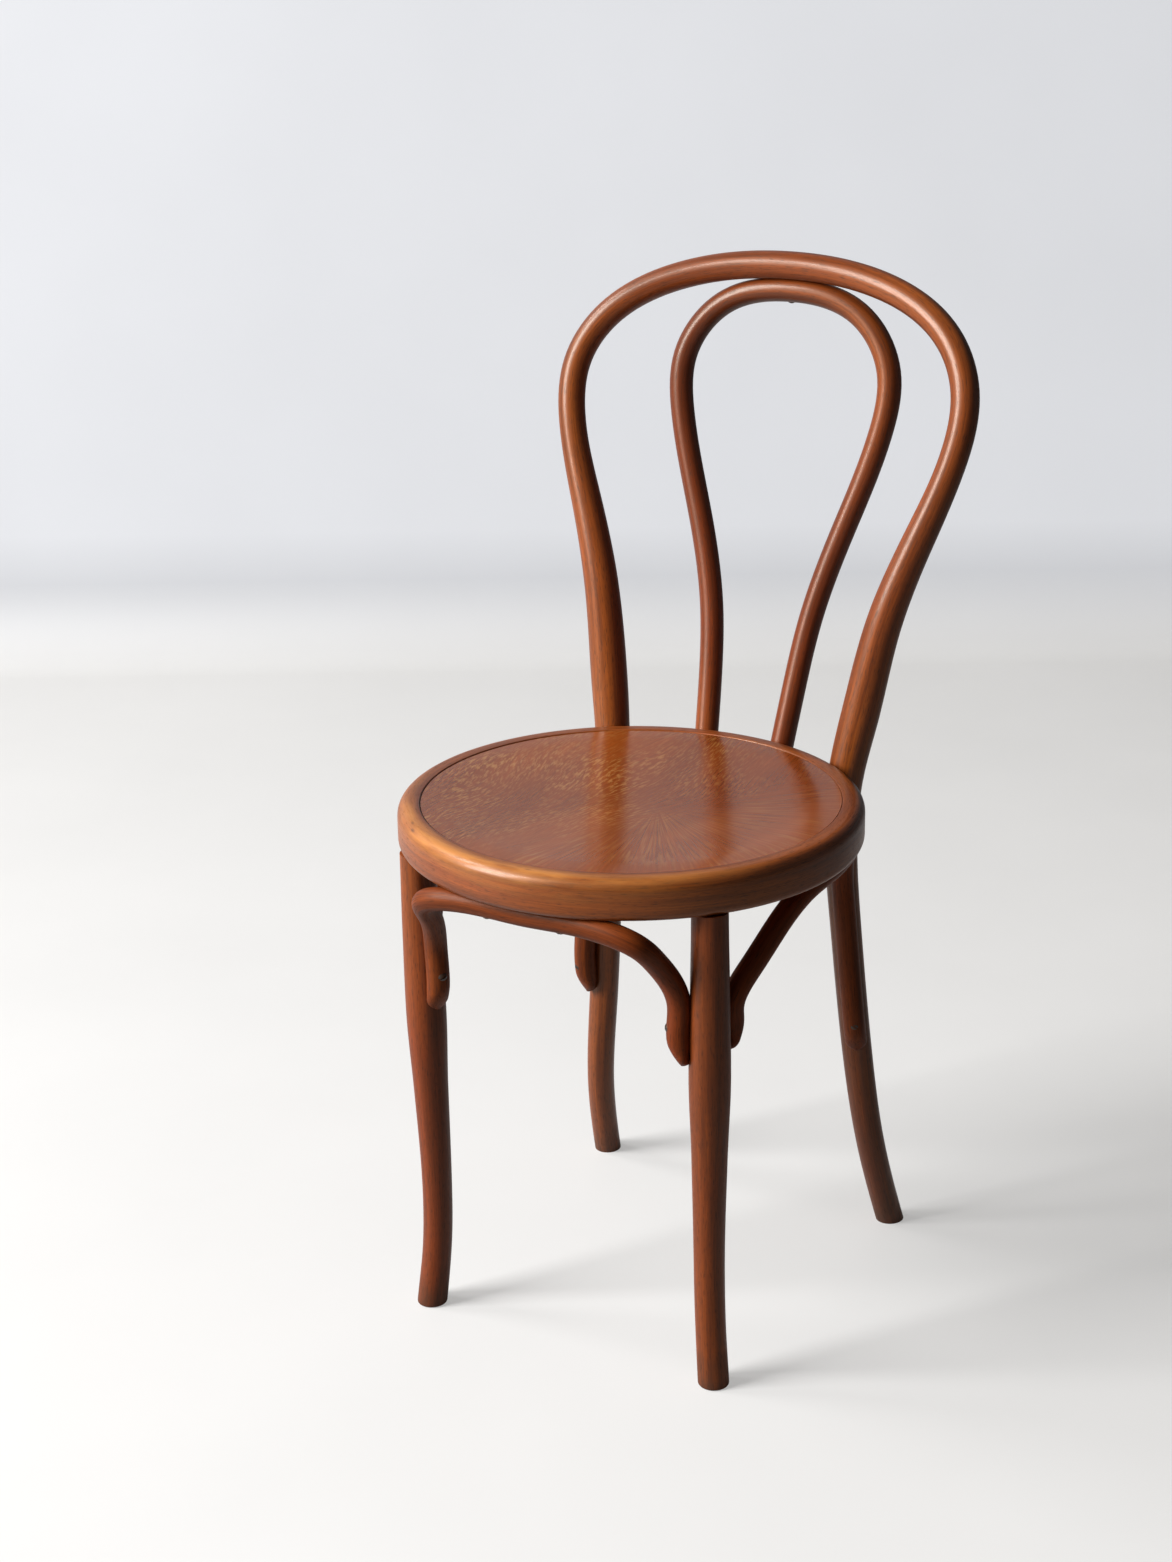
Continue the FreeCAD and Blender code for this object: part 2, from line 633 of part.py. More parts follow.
side_stations = foot_stations(leg_line, size("side_tip_drop"), [size("side_heel_drop")],
                              side_turn)
side_stations += [
    (round_seat(size("side_calf_inset"), -size("side_calf_angle"), size("side_calf_drop")), rail),
    (round_seat(size("side_arm_inset"), -size("side_arm_angle"), size("side_arm_drop")), rail),
    (round_seat(size("side_rise_inset"), -size("side_rise_angle"), size("side_rise_drop")), rail),
    (round_seat(size("side_run_inset"), size("side_run_angle"), run_drop), rail),
    (round_seat(size("side_end_inset"), size("side_end_angle"), run_drop), rail),
    (round_seat(size("side_corner_inset"), size("side_corner_angle"),
                size("side_corner_drop")), rail),
    (round_seat(size("side_elbow_inset"), size("side_elbow_angle"),
                size("side_elbow_drop")), rail),
]
rear_foot = foot_stations(hoop_line, size("rear_tip_drop"),
                          [size("rear_foot_drop"), size("rear_heel_drop")], rear_turn)
side_stations += rear_foot[::-1]
side_line = Spine(side_stations)
front_rod = front_line.solid(SHORT_STEP)
side_rod = side_line.solid(SHORT_STEP)

# Fasteners


def domed(head_width, head_height, shank_width, length):
    """A screw or bolt with a domed head, its head on the plane z = 0 and its shank below."""
    head = head_width / 2
    shank = shank_width / 2
    dome = (head ** 2 + head_height ** 2) / (2 * head_height)
    middle = math.radians(45) * head / dome
    on_dome = Vector(dome * math.sin(middle), 0, head_height - dome + dome * math.cos(middle))
    arc = Part.Arc(Vector(head, 0, 0), on_dome, Vector(0, 0, head_height)).toShape()
    return turned([
        arc,
        segment(0, head_height, 0, -length),
        segment(0, -length, shank, -length + shank),
        segment(shank, -length + shank, shank, 0),
        segment(shank, 0, head, 0),
    ])


def stood(shape, seat, outward):
    """A fastener set on its seat, its head pointing outward."""
    copy = shape.copy()
    copy.Placement = Placement(seat, Rotation(Vector(0, 0, 1), outward))
    return copy


def screw_holes(seat, outward, width, head_width, length):
    """The hole for a shank and the flat seat for its head."""
    gap = 2 * size("drill_gap")
    shank = drill(seat + outward * BEYOND, outward * -1, length + BEYOND, width + gap)
    head = drill(seat, outward, BEYOND, head_width + gap)
    return shank.fuse(head)


class Screw:
    """One screw: where its head sits, which way it points and how long it is."""

    def __init__(self, centre, outward, rod_width, length):
        self.seat = centre + outward * (rod_width / 2 - size("spot_depth"))
        self.outward = outward
        self.length = length

    def shape(self):
        body = domed(size("screw_head_width"), size("screw_head_height"), size("screw_width"),
                     self.length)
        return stood(body, self.seat, self.outward)

    def hole(self):
        return screw_holes(self.seat, self.outward, size("screw_width"),
                           size("screw_head_width"), self.length + size("drill_gap"))


def foot_screw(line, drop, turn):
    """A screw through a bracket's foot into the leg."""
    centre, along, _ = line.at_height(ring_base - drop)
    point, width = beside(line, ring_base - drop, turn, size("rail_width"))
    outward = (turn - along * turn.dot(along)).normalize()
    return Screw(point, outward, width, size("foot_screw_length"))


def rail_screw(line, degrees):
    """A screw up through a bracket's run into the ring, at an angle round the seat."""
    return Screw(line.at_turn(degrees)[0], -UP, size("rail_width"), size("rail_screw_length"))


front_screw = foot_screw(leg_line, size("front_screw_drop"), front_turn)
side_screw = foot_screw(leg_line, size("side_screw_drop"), side_turn)
rear_screws = [foot_screw(hoop_line, size("rear_screw_drop") + k * size("rear_screw_step"),
                          rear_turn) for k in (0, 1)]
front_rail_screw = rail_screw(front_line, size("front_rail_screw_angle") - 90)
side_rail_screws = [rail_screw(side_line, size("side_rail_screw_angle")
                               + k * size("side_rail_screw_step")) for k in (0, 1)]

bow_out = Vector(size("bow_end_half"), bow_end_y, 0).normalize()
bow_height = ring_base - size("bow_screw_drop")
bow_point, _, _ = bow_line.at_height(bow_height)
bow_screw = Screw(bow_point, bow_out, size("bow_width"), size("bow_screw_length"))
crest_screw = Screw(place(0, bow_crest.y, bow_crest.z), crest_line, size("bow_width"),
                    size("crest_screw_length"))

# Rear bolts, through the posts and the ring, with their washers and nuts inside the ring

post_out = Vector(math.sin(math.radians(size("post_angle"))),
                  math.cos(math.radians(size("post_angle"))), 0)
bolt_height = ring_base - size("bolt_drop")
post_point, _, post_width = hoop_line.at_height(bolt_height)
bolt_seat = post_point + post_out * (post_width / 2 - size("spot_depth") * 2)
seat_axis = place(0, 0, bolt_height)
nut_flat = bore_radius * math.cos(math.asin(size("washer_width") / 2 / bore_radius))
nut_reach = size("washer_thickness") + size("nut_height")
nut_seat = seat_axis + post_out * nut_flat
bolt_length = (bolt_seat - seat_axis).dot(post_out) - nut_flat + nut_reach + size("bolt_width") / 2


def washer():
    """A flat ring whose lower face is on the plane z = 0."""
    disc = Part.makeCylinder(size("washer_width") / 2, size("washer_thickness"))
    return disc.cut(Part.makeCylinder(size("bolt_width") / 2 + size("drill_gap"), FAR))


def nut():
    """A six-sided nut whose lower face is on the plane z = 0."""
    corner = size("nut_width") / 2 / math.cos(math.radians(30))
    points = [direction(60 * k) * corner for k in range(7)]
    block = Part.Face(Part.makePolygon(points)).extrude(Vector(0, 0, size("nut_height")))
    return block.cut(Part.makeCylinder(size("bolt_width") / 2 + size("drill_gap"), FAR))


bolt_washer = stood(washer(), bolt_seat, post_out)
bolt_head = bolt_seat + post_out * size("washer_thickness")
bolt = stood(domed(size("bolt_head_width"), size("bolt_head_height"), size("bolt_width"),
                   bolt_length + size("washer_thickness")), bolt_head, post_out)
nut_washer = stood(washer(), nut_seat, post_out * -1)
nut_shape = stood(nut(), nut_seat - post_out * size("washer_thickness"), post_out * -1)
bolt_hole = screw_holes(bolt_seat, post_out, size("bolt_width"), size("washer_width"),
                        2 * size("ring_width") + size("hoop_seat_width"))
nut_hole = drill(nut_seat, post_out * -1, BEYOND, size("washer_width") + 2 * size("drill_gap"))

# Seat ring: a turned section with a rebate for the panel


def body_plane(body, role):
    """One of a body's own origin planes."""
    return next(f for f in body.Origin.OriginFeatures if f.Role == role)


def turned_blank(name, corners):
    """A body turned about its upright axis, its corners tied to expressions of the sheet."""
    body = doc.addObject("PartDesign::Body", name)
    sketch = body.newObject("Sketcher::SketchObject", name + "_section")
    sketch.AttachmentSupport = (body_plane(body, "XZ_Plane"), [""])
    sketch.MapMode = "FlatFace"
    points = [Vector(x, z, 0) for x, z, _, _ in corners]
    for start, end in zip(points, points[1:] + points[:1]):
        sketch.addGeometry(Part.LineSegment(start, end), False)
    for k, (x, z, across, up) in enumerate(corners):
        before = (k - 1) % len(corners)
        sketch.addConstraint(Sketcher.Constraint("Coincident", before, 2, k, 1))
        for kind, distance, text in (("DistanceX", x, across), ("DistanceY", z, up)):
            number = sketch.addConstraint(Sketcher.Constraint(kind, -1, 1, k, 1, distance))
            sketch.setExpression("Constraints[%d]" % number, text)
    turn = body.newObject("PartDesign::Revolution", name + "_turned")
    turn.Profile = sketch
    turn.ReferenceAxis = (sketch, ["V_Axis"])
    turn.Angle = 360
    doc.recompute()
    return body


def round_edge(body, radius, height, alias):
    """Rounds the circular edge at a radius and a height of a turned body."""
    found = []
    for number, edge in enumerate(body.Shape.Edges, start=1):
        curve = edge.Curve
        if curve.TypeId == "Part::GeomCircle":
            wide = abs(curve.Radius - radius) < 0.01
            if wide and abs(curve.Center.z - height) < 0.01:
                found.append("Edge%d" % number)
    base = body.Tip
    fillet = body.newObject("PartDesign::Fillet", "round_" + alias)
    fillet.Base = (base, found)
    fillet.setExpression("Radius", "Sizes." + alias)
    body.Tip = fillet
    doc.recompute()


BORE = "Sizes.seat_radius - Sizes.ring_width"
REBATE = "Sizes.seat_radius - Sizes.panel_inset"
LEDGE = "Sizes.ring_height - Sizes.panel_thickness - Sizes.panel_sink"
ring_blank = turned_blank("ring_blank", [
    (bore_radius, 0, BORE, "0"),
    (size("seat_radius"), 0, "Sizes.seat_radius", "0"),
    (size("seat_radius"), size("ring_height"), "Sizes.seat_radius", "Sizes.ring_height"),
    (rebate_radius, size("ring_height"), REBATE, "Sizes.ring_height"),
    (rebate_radius, ledge_height, REBATE, LEDGE),
    (bore_radius, ledge_height, BORE, LEDGE),
])
round_edge(ring_blank, size("seat_radius"), size("ring_height"), "ring_top_round")
round_edge(ring_blank, size("seat_radius"), 0, "ring_low_round")
round_edge(ring_blank, rebate_radius, size("ring_height"), "ring_edge_round")
ring_blank.Placement = Placement(place(0, 0, ring_base), Rotation())
doc.recompute()

# Seat panel: a thin formed disc, dished alike above and below


def bound(kind, name, level, **expressions):
    """A primitive with its sizes tied to the sheet, standing on the seat's axis at a level."""
    item = doc.addObject(kind, name)
    for key, text in expressions.items():
        item.setExpression(key, text)
    item.Placement = Placement(place(0, 0, level), Rotation())
    return item


def boolean(kind, name, base, tool):
    """A boolean of two objects."""
    result = doc.addObject(kind, name)
    result.Base = base
    result.Tool = tool
    return result


RIM = "Sizes.seat_radius - Sizes.panel_inset - Sizes.glue_gap"
DISH = "(Sizes.seat_radius - Sizes.panel_inset - Sizes.glue_gap - Sizes.panel_rim)"
BALL = "(%s ^ 2 + Sizes.panel_dish ^ 2) / (2 * Sizes.panel_dish)" % DISH
panel_base = ring_base + ledge_height
dish_radius = rebate_radius - size("glue_gap") - size("panel_rim")
ball_radius = (dish_radius ** 2 + size("panel_dish") ** 2) / (2 * size("panel_dish"))
ball_level = panel_base - size("panel_dish") + ball_radius
disc = bound("Part::Cylinder", "panel_disc", panel_base, Radius=RIM,
             Height="Sizes.panel_thickness")
drum = bound("Part::Cylinder", "panel_drum", panel_base - size("panel_dish"), Radius=DISH,
             Height="Sizes.panel_dish + Sizes.panel_thickness / 2")
low_ball = bound("Part::Sphere", "panel_low_ball", ball_level, Radius=BALL)
high_ball = bound("Part::Sphere", "panel_high_ball", ball_level + size("panel_thickness"),
                  Radius=BALL)
belly = boolean("Part::Common", "panel_belly", drum, low_ball)
bellied = boolean("Part::Fuse", "panel_blank", disc, belly)
panel = boolean("Part::Cut", "seat_panel", bellied, high_ball)

# The pieces, cut by their seats and holes


def holes(screws):
    """The holes of several screws."""
    return [screw.hole() for screw in screws]


def group(name, shapes):
    """A sub-part that is several like pieces."""
    return solid_piece(name, Part.makeCompound(shapes))


tenon_hole = drill(leg_top, UP, size("tenon_length") + size("drill_gap"),
                   size("tenon_width") + 2 * size("glue_gap"))
ring_holes = [tenon_hole, bolt_hole.fuse(nut_hole), bow_screw.hole()]
ring_holes += holes(side_rail_screws + [front_rail_screw])
below_ring = slab(0, ring_base)
both_legs = both([leg_shaft])
seated_hoop = hoop_rod.cut(seat_wall)
seated_bow = bow_rod.cut(seat_wall).cut(hoop_rod)
seated_front = front_rod.common(below_ring).cut(both_legs[0]).cut(both_legs[1])
seated_side = side_rod.common(below_ring).cut(leg_shaft).cut(hoop_rod)

rear_hoop = cut_piece("rear_hoop", seated_hoop, both([bolt_hole] + holes(rear_screws))
                      + [crest_screw.hole()])
inner_bow = cut_piece("inner_bow", seated_bow, both([bow_screw.hole()]) + [crest_screw.hole()])
seat_ring = cut_piece("seat_ring", ring_blank, both(ring_holes))
leg_left = cut_piece("front_leg_left", leg_shape, holes([front_screw, side_screw]))
leg_right = mirror_piece("front_leg_right", leg_left)
front_bracket = cut_piece("front_bracket", seated_front,
                          both(holes([front_screw, front_rail_screw])))
side_left = cut_piece("side_bracket_left", seated_side,
                      holes([side_screw] + rear_screws + side_rail_screws))
side_right = mirror_piece("side_bracket_right", side_left)
foot_screws = group("foot_screws",
                    both([s.shape() for s in [front_screw, side_screw] + rear_screws]))
rail_screws = group("rail_screws",
                    both([s.shape() for s in [front_rail_screw] + side_rail_screws]))
bow_screws = group("bow_screws", both([bow_screw.shape()]))
crest_piece = solid_piece("crest_screw", crest_screw.shape())
hoop_bolts = group("hoop_bolts", both([bolt]))
hoop_washers = group("hoop_washers", both([bolt_washer, nut_washer]))
hoop_nuts = group("hoop_nuts", both([nut_shape]))
doc.recompute()

pieces = (rear_hoop, inner_bow, seat_ring, panel, leg_left, leg_right, front_bracket, side_left,
          side_right, foot_screws, rail_screws, bow_screws, crest_piece, hoop_bolts,
          hoop_washers, hoop_nuts)

for item in doc.Objects:
    if "Invalid" in item.State or "Error" in item.State:
        raise RuntimeError("%s could not be made: %s" % (item.Name, item.State))
for piece in pieces:
    shape = piece.Shape
    if shape.isNull() or not shape.isValid() or not shape.Solids:
        raise RuntimeError("%s has no valid shape" % piece.Label)
for piece in pieces:
    box = piece.Shape.BoundBox
    print("%-20s %2d solids %9.0f mm3  x %.1f %.1f  y %.1f %.1f  z %.1f %.1f" % (
        piece.Label, len(piece.Shape.Solids), piece.Shape.Volume,
        box.XMin, box.XMax, box.YMin, box.YMax, box.ZMin, box.ZMax))
    piece.Shape.exportStep("parts/%s.step" % piece.Label)
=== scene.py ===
import math

import bmesh
import bpy
import numpy as np
from bpy.props import FloatProperty, FloatVectorProperty, PointerProperty
from mathutils import Matrix, Vector


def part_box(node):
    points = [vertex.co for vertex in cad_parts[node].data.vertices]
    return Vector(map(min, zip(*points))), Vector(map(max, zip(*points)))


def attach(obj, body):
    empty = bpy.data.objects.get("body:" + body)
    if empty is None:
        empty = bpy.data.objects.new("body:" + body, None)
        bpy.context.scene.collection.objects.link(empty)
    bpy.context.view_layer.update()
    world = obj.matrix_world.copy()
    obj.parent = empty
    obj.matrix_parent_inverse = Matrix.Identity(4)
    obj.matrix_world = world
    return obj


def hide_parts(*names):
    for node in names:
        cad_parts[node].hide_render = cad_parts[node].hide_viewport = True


bl_info = {
    "name": "Bentwood bistro chair",
    "version": (1, 0, 0),
    "blender": (4, 5, 0),
    "location": "3D View > Sidebar > Bistro Chair",
    "description": "Builds a bentwood chair with a hooped back and a round dished seat",
    "category": "Add Mesh",
}

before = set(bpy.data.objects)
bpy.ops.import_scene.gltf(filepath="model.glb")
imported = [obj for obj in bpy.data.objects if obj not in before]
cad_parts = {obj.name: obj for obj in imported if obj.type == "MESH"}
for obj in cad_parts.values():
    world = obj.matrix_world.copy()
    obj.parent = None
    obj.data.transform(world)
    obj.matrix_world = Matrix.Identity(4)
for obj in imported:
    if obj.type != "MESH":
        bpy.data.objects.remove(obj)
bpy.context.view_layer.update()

# Lengths are metres. +X is the sitter's left, +Y the back of the chair, +Z up.

RING_LOW, RING_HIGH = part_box("seat_ring")
SEAT_Y = (RING_LOW.y + RING_HIGH.y) / 2
ROOT = "root"

ROD_SIDES = 40             # faces round a rod
ROD_STEP = 0.006           # length of its faces
RING_STEPS = 180           # faces round the seat
ROUND_STEPS = 7            # faces across a rounded edge
NOSE_STEPS = 13            # points along the rounded end of a bracket's foot
DISH_STEPS = 24            # points from the panel's middle to its rim
SCREW_SIDES = 24           # faces round a screw
DOME_STEPS = 8             # points from the top of its head to the edge
END_STEPS = 4              # faces across the rounded end of a rod
COVE_STEPS = 10            # points between floor and wall
BEYOND = 0.014             # how far a rod is made past the plane that cuts its end
HALVINGS = 40              # of a stretch, until a place on it is exact
MERGE = 1e-6               # points as near as this are one

UP = Vector((0.0, 0.0, 1.0))
DOWN = Vector((0.0, 0.0, -1.0))
FLIP = Vector((-1.0, 1.0, 1.0))      # from the left side to the right

# Stations of the bent rods, as in the CAD source

HOOP_LEG = (               # outwards of the post, behind it, height, diameter
    (0.0350, 0.0415, 0.000, 0.0255),
    (0.0255, 0.0130, 0.093, 0.0260),
    (0.0147, 0.0028, 0.190, 0.0274),
    (0.0040, -0.0046, 0.319, 0.0282),
    (0.0000, 0.0000, 0.452, 0.0320),
)
HOOP_BACK = (              # half width, behind the post, above the seat, diameter
    (0.1282, 0.0102, 0.040, 0.0340),
    (0.1424, 0.0233, 0.119, 0.0318),
    (0.1660, 0.0389, 0.193, 0.0280),
)
HOOP_BOW = (               # half width, ahead of the crest, below it, diameter
    (0.1895, 0.0675, 0.1465, 0.0250),
    (0.1925, 0.0510, 0.0920, 0.0250),
    (0.1730, 0.0340, 0.0540, 0.0250),
    (0.0992, 0.0080, 0.0125, 0.0250),
    (0.0000, 0.0000, 0.0000, 0.0250),
)
POST_ANGLE = 33.8          # rear post, from the back towards the side
POST_BITE = 0.0016         # how deep the posts are let in at the ring
CREST_RISE = 0.4095        # crest of the outer bow above the seat
CREST_BACK = 0.1225        # the same behind the post
CREST_TILT = 7.4           # lean of the line through both crests
CREST_BITE = 0.0008        # how deep the inner crest is let in at the outer one

BOW_LOW = (                # half width, behind its end, above the seat
    (0.0370, 0.0000, -0.036),
    (0.0432, 0.0240, 0.042),
    (0.0505, 0.0400, 0.100),
    (0.0715, 0.0585, 0.178),
)
BOW_HIGH = (               # half width, ahead of its own crest, under the outer crest
    (0.1002, 0.0210, 0.1370),
    (0.1024, 0.0120, 0.0880),
    (0.0690, 0.0025, 0.0395),
)
BOW_BITE = 0.002           # how deep its ends are let in at the ring

LEG = (                    # height, outwards of the leg's top, diameter
    (-0.014, 0.0029, 0.0268),
    (0.000, 0.0014, 0.0268),
    (0.053, -0.0046, 0.0261),
    (0.106, -0.0067, 0.0263),
    (0.213, -0.0044, 0.0303),
    (0.286, -0.0026, 0.0350),
    (0.366, -0.0008, 0.0325),
    (0.434, 0.0000, 0.0305),
    (0.448, 0.0000, 0.0305),
)
LEG_ANGLE = 49.1           # front leg, from the front towards the side
LEG_INSET = 0.0148         # centre of its top, from the seat's outer edge
LEG_LEAN = 0.003           # how far its foot stands back of its top

FRONT_RAIL = (             # inset from the seat's edge, degrees from the front, drop
    (0.0130, 35.5, 0.0410),
    (0.0010, 30.5, 0.0200),
    (0.0105, 20.0, 0.0092),
    (0.0215, 0.0, 0.0092),
)
SIDE_RAIL = (              # inset from the seat's edge, degrees behind the side's middle, drop
    (0.0265, -26.0, 0.0600),
    (0.0290, -14.0, 0.0295),
    (0.0275, -3.5, 0.0140),
    (0.0230, 7.0, 0.0092),
    (0.0120, 29.0, 0.0092),
    (0.0050, 40.5, 0.0190),
    (0.0025, 47.5, 0.0460),
)
RAIL_BITE = 0.0015         # hollow in a bracket's foot that fits the leg
SCARF = 0.024              # slanted end of a bracket's foot
SCARF_TIP = 0.008          # diameter left at the tip
NOSE = 0.010               # length over which the foot's outline rounds off
NOSE_TIP = 0.32            # part of the width that is left at its very end
FRONT_FOOT = (28.0, 0.136, (0.083,))          # turn round the leg, tip's drop, heels' drops
SIDE_FOOT = (18.0, 0.128, (0.092,))
REAR_FOOT = (27.0, 0.238, (0.150, 0.095))
FRONT_SCREWS = (0.103,)                       # drops of the screws in these feet
SIDE_SCREWS = (0.096,)
REAR_SCREWS = (0.176, 0.209)
RAIL_SCREW_ANGLES = (10.0, 25.0)              # behind the side's middle
FRONT_RAIL_SCREW_ANGLE = 11.0                 # to each side of the front
SPOT_DEPTH = 0.0016        # flat seat of a screw head in a round rod
POST_SCREW_LIFT = 0.017    # height of the bow's screws above the ring's underside
RAIL_SINK = 0.0005         # how far a bracket's flat side reaches into the ring
SHANK_SHARE = 0.47         # width of a screw's shank, as a share of its head's
SHANK_LENGTH = 0.012       # below the head
SHANK_POINT = 0.014        # its tip, below the head
SLOT_DEPTH = 0.45          # of the height of the dome
FIRST_SLOT = (40.0, 110.0)                    # turn of the first slot, left and right
NEXT_SLOT = (67.0, 81.0)                      # and from one to the next

# Woods: seed of the grain, redness, and how much of the varnish is gone

WOODS = {
    "hoop": (0.4, 0.3, 0.0),
    "bow": (3.7, 0.8, 0.0),
    "leg_left": (5.3, 0.75, 0.06),
    "leg_right": (8.9, 0.75, 0.06),
    "front_bracket": (11.1, 0.85, 0.12),
    "side_bracket_left": (14.5, 0.85, 0.12),
    "side_bracket_right": (17.9, 0.85, 0.12),
    "ring": (21.3, 0.35, 0.0),
}
COAT = 0.15                # weight of the whole varnish
BUMP_DEPTH = 0.0001
DIRT = (0.050, 0.022, 0.012, 1.0)
STEEL_TRACES = (0.10, 0.045, 0.02, 1.0)       # varnish and dirt on the screws

# Patterns, in waves per metre: across, across and along the stick, or x, y and z

STAIN_SCALE = (6.0, 6.0, 2.6)                 # clouds of amber and red
BAND_SCALE = (30.0, 30.0, 3.0)                # broad darker bands
STREAK_SCALE = (200.0, 200.0, 7.0)
FIBRE_SCALE = (900.0, 900.0, 18.0)
PORE_SCALE = (1300.0, 1300.0, 120.0)
WAVE_SCALE = (45.0, 45.0, 9.0)                # uneven surface, scraped by hand
SCUFF_SCALE = (90.0, 90.0, 30.0)              # edge of the dirt on the feet
RUB_SCALE = (90.0, 90.0, 14.0)                # patches of worn wood
NICK_SCALE = (90.0, 90.0, 28.0)
STEEL_SCALE = (420.0, 420.0, 420.0)
ROOM_SCALE = (3.0, 3.0, 3.0)
WARP_SCALE = (7.0, 4.0, 0.0)                  # veneer: bends of its fibres
TONE_SCALE = (9.0, 3.0, 0.0)
VENEER_FIBRE_SCALE = (700.0, 16.0, 0.0)
RAY_SCALE = (480.0, 85.0, 0.0)                # pale flecks
FLECKED_SCALE = (16.0, 11.0, 0.0)             # patches that have flecks
PANEL_WAVE_SCALE = (30.0, 12.0, 0.0)

FAN_MIDDLE = (0.025, 0.002, 0.0)         # where the panel's grain fans out, from its middle
FAN_HEADING = (0.86, -0.51, 0.0)         # and towards where
FAN_REACH = 0.09                         # where its fibres are as wide as elsewhere

# Golden stretch of the ring, in radians from the front: partly rubbed-off stain, partly a painted
# highlight on its lit front-left top edge

SHEEN_AND_WEAR_MIDDLE = -0.25
SHEEN_AND_WEAR_END = 1.5
SHEEN_AND_WEAR_SPREAD = 0.95         # the higher, the shorter it is
SHEEN_AND_WEAR_FADE = 0.010          # width over which it sets in, outwards of the panel's rebate

# Camera, as fitted to the photograph of 1172 by 1562 pixels

PHOTO_HEIGHT = 1562.0
CAMERA_AZIMUTH = 30.436
CAMERA_ELEVATION = 19.382
CAMERA_ROLL = -0.8984
CAMERA_DISTANCE = 2.3553
CAMERA_FOCUS = 2723.92     # in pixels
TARGET = Vector((0.0, SEAT_Y, 0.4))
TARGET_ACROSS = 45.548     # where the target is seen, in pixels right of the middle
TARGET_BELOW = 91.002      # and below it

# Studio

LAMP_DISTANCE = 5.0        # from the target
WINDOW = ((2.0, 3.0), -44.0, 30.0)       # width and height, azimuth, elevation
SIDE_WINDOW = ((1.2, 1.2), -76.0, 43.0)
COVE = 0.12                # radius between floor and wall
FLOOR_FRONT = -6.0         # where the floor starts, ahead of the seat
GLOW_FRONT = -0.6          # where its even glow starts to fall off
WALL_HEIGHT = 4.0
HALF_ROOM = 7.0            # half the width of floor and wall


def length_property(name, description, default, low, high):
    """A length for the sidebar."""
    return FloatProperty(name=name, description=description, default=default, min=low,
                         max=high, unit="LENGTH")


def colour_property(name, description, *default):
    """A colour for the sidebar."""
    return FloatVectorProperty(name=name, description=description, subtype="COLOR", size=4,
                               min=0.0, max=1.0, default=(*default, 1.0))


def share_property(name, description, default):
    """A share between nothing and all for the sidebar."""
    return FloatProperty(name=name, description=description, default=default, min=0.0,
                         max=1.0)


class ChairSizes(bpy.types.PropertyGroup):
    """Sizes of the chair"""
    seat_height: length_property(
        "Seat height", "Floor to the top of the seat ring", RING_HIGH.z, 0.3, 0.7)
    seat_radius: length_property(
        "Seat radius", "Outside of the seat ring", (RING_HIGH.x - RING_LOW.x) / 2, 0.12, 0.3)
    ring_height: length_property(
        "Ring height", "Thickness of the bent ring", RING_HIGH.z - RING_LOW.z, 0.02, 0.06)
    ring_width: length_property(
        "Ring width", "Width of the ring's section", 0.035, 0.02, 0.06)
    ring_top_round: length_property(
        "Top rounding", "Rounding of the ring's outer top edge", 0.0105, 0.001, 0.015)
    ring_low_round: length_property(
        "Lower rounding", "Rounding of the ring's outer lower edge", 0.007, 0.001, 0.015)
    edge_round: length_property(
        "Small rounding", "Rounding of the ring's inner edges and of the bow's ends", 0.0012,
        0.0002, 0.003)
    panel_inset: length_property(
        "Panel inset", "Ring's outside to the wall of the panel's rebate", 0.0195, 0.01, 0.03)
    panel_thickness: length_property(
        "Panel thickness", "Thickness of the formed plywood", 0.0045, 0.002, 0.01)
    panel_sink: length_property(
        "Panel sink", "Panel's rim below the ring's top", 0.0008, 0.0, 0.003)
    panel_dish: length_property(
        "Panel dish", "Depth of the dished seat", 0.006, 0.0, 0.02)
    panel_rim: length_property(
        "Panel rim", "Flat rim round the dish", 0.017, 0.005, 0.05)
    panel_gap: length_property(
        "Panel gap", "Dark joint between the panel and the ring", 0.0005, 0.0, 0.002)
    bow_width: length_property(
        "Bow width", "Diameter of the inner bow", 0.0216, 0.015, 0.03)
    rail_width: length_property(
        "Bracket width", "Diameter of the bent brackets", 0.020, 0.012, 0.03)
    foot_round: length_property(
        "Foot rounding", "Rounding of the feet at the floor", 0.002, 0.0005, 0.004)
    screw_head: length_property(
        "Screw head", "Diameter of a domed screw head", 0.0095, 0.005, 0.015)
    screw_dome: length_property(
        "Screw dome", "Height of a domed screw head", 0.003, 0.001, 0.005)
    screw_slot: length_property(
        "Screw slot", "Width of the slot in a screw head", 0.0012, 0.0005, 0.003)


class ChairFinish(bpy.types.PropertyGroup):
    """Colours of the chair"""
    amber: colour_property(
        "Amber", "Lighter, golden part of the stain", 0.36, 0.094, 0.014)
    red: colour_property(
        "Red", "Redder part of the stain", 0.21, 0.036, 0.006)
    brown: colour_property(
        "Brown", "Darkest part of the stain", 0.095, 0.017, 0.003)
    pore: colour_property(
        "Pores", "Stain gathered in the pores of the wood", 0.040, 0.012, 0.005)
    # Golden colour of the ring's rubbed top edge; it also paints the highlight that the window
    # light gives there
    worn: colour_property(
        "Worn wood", "Golden wood where the stain is rubbed off", 0.52, 0.20, 0.045)
    veneer: colour_property(
        "Veneer", "Reddish brown of the seat panel", 0.26, 0.056, 0.008)
    veneer_deep: colour_property(
        "Deep veneer", "Darker brown of the seat panel", 0.16, 0.029, 0.004)
    fleck: colour_property(
        "Flecks", "Pale ray flecks of the seat panel", 0.46, 0.225, 0.065)
    steel: colour_property(
        "Steel", "Darkened screws and bolts", 0.06, 0.05, 0.045)


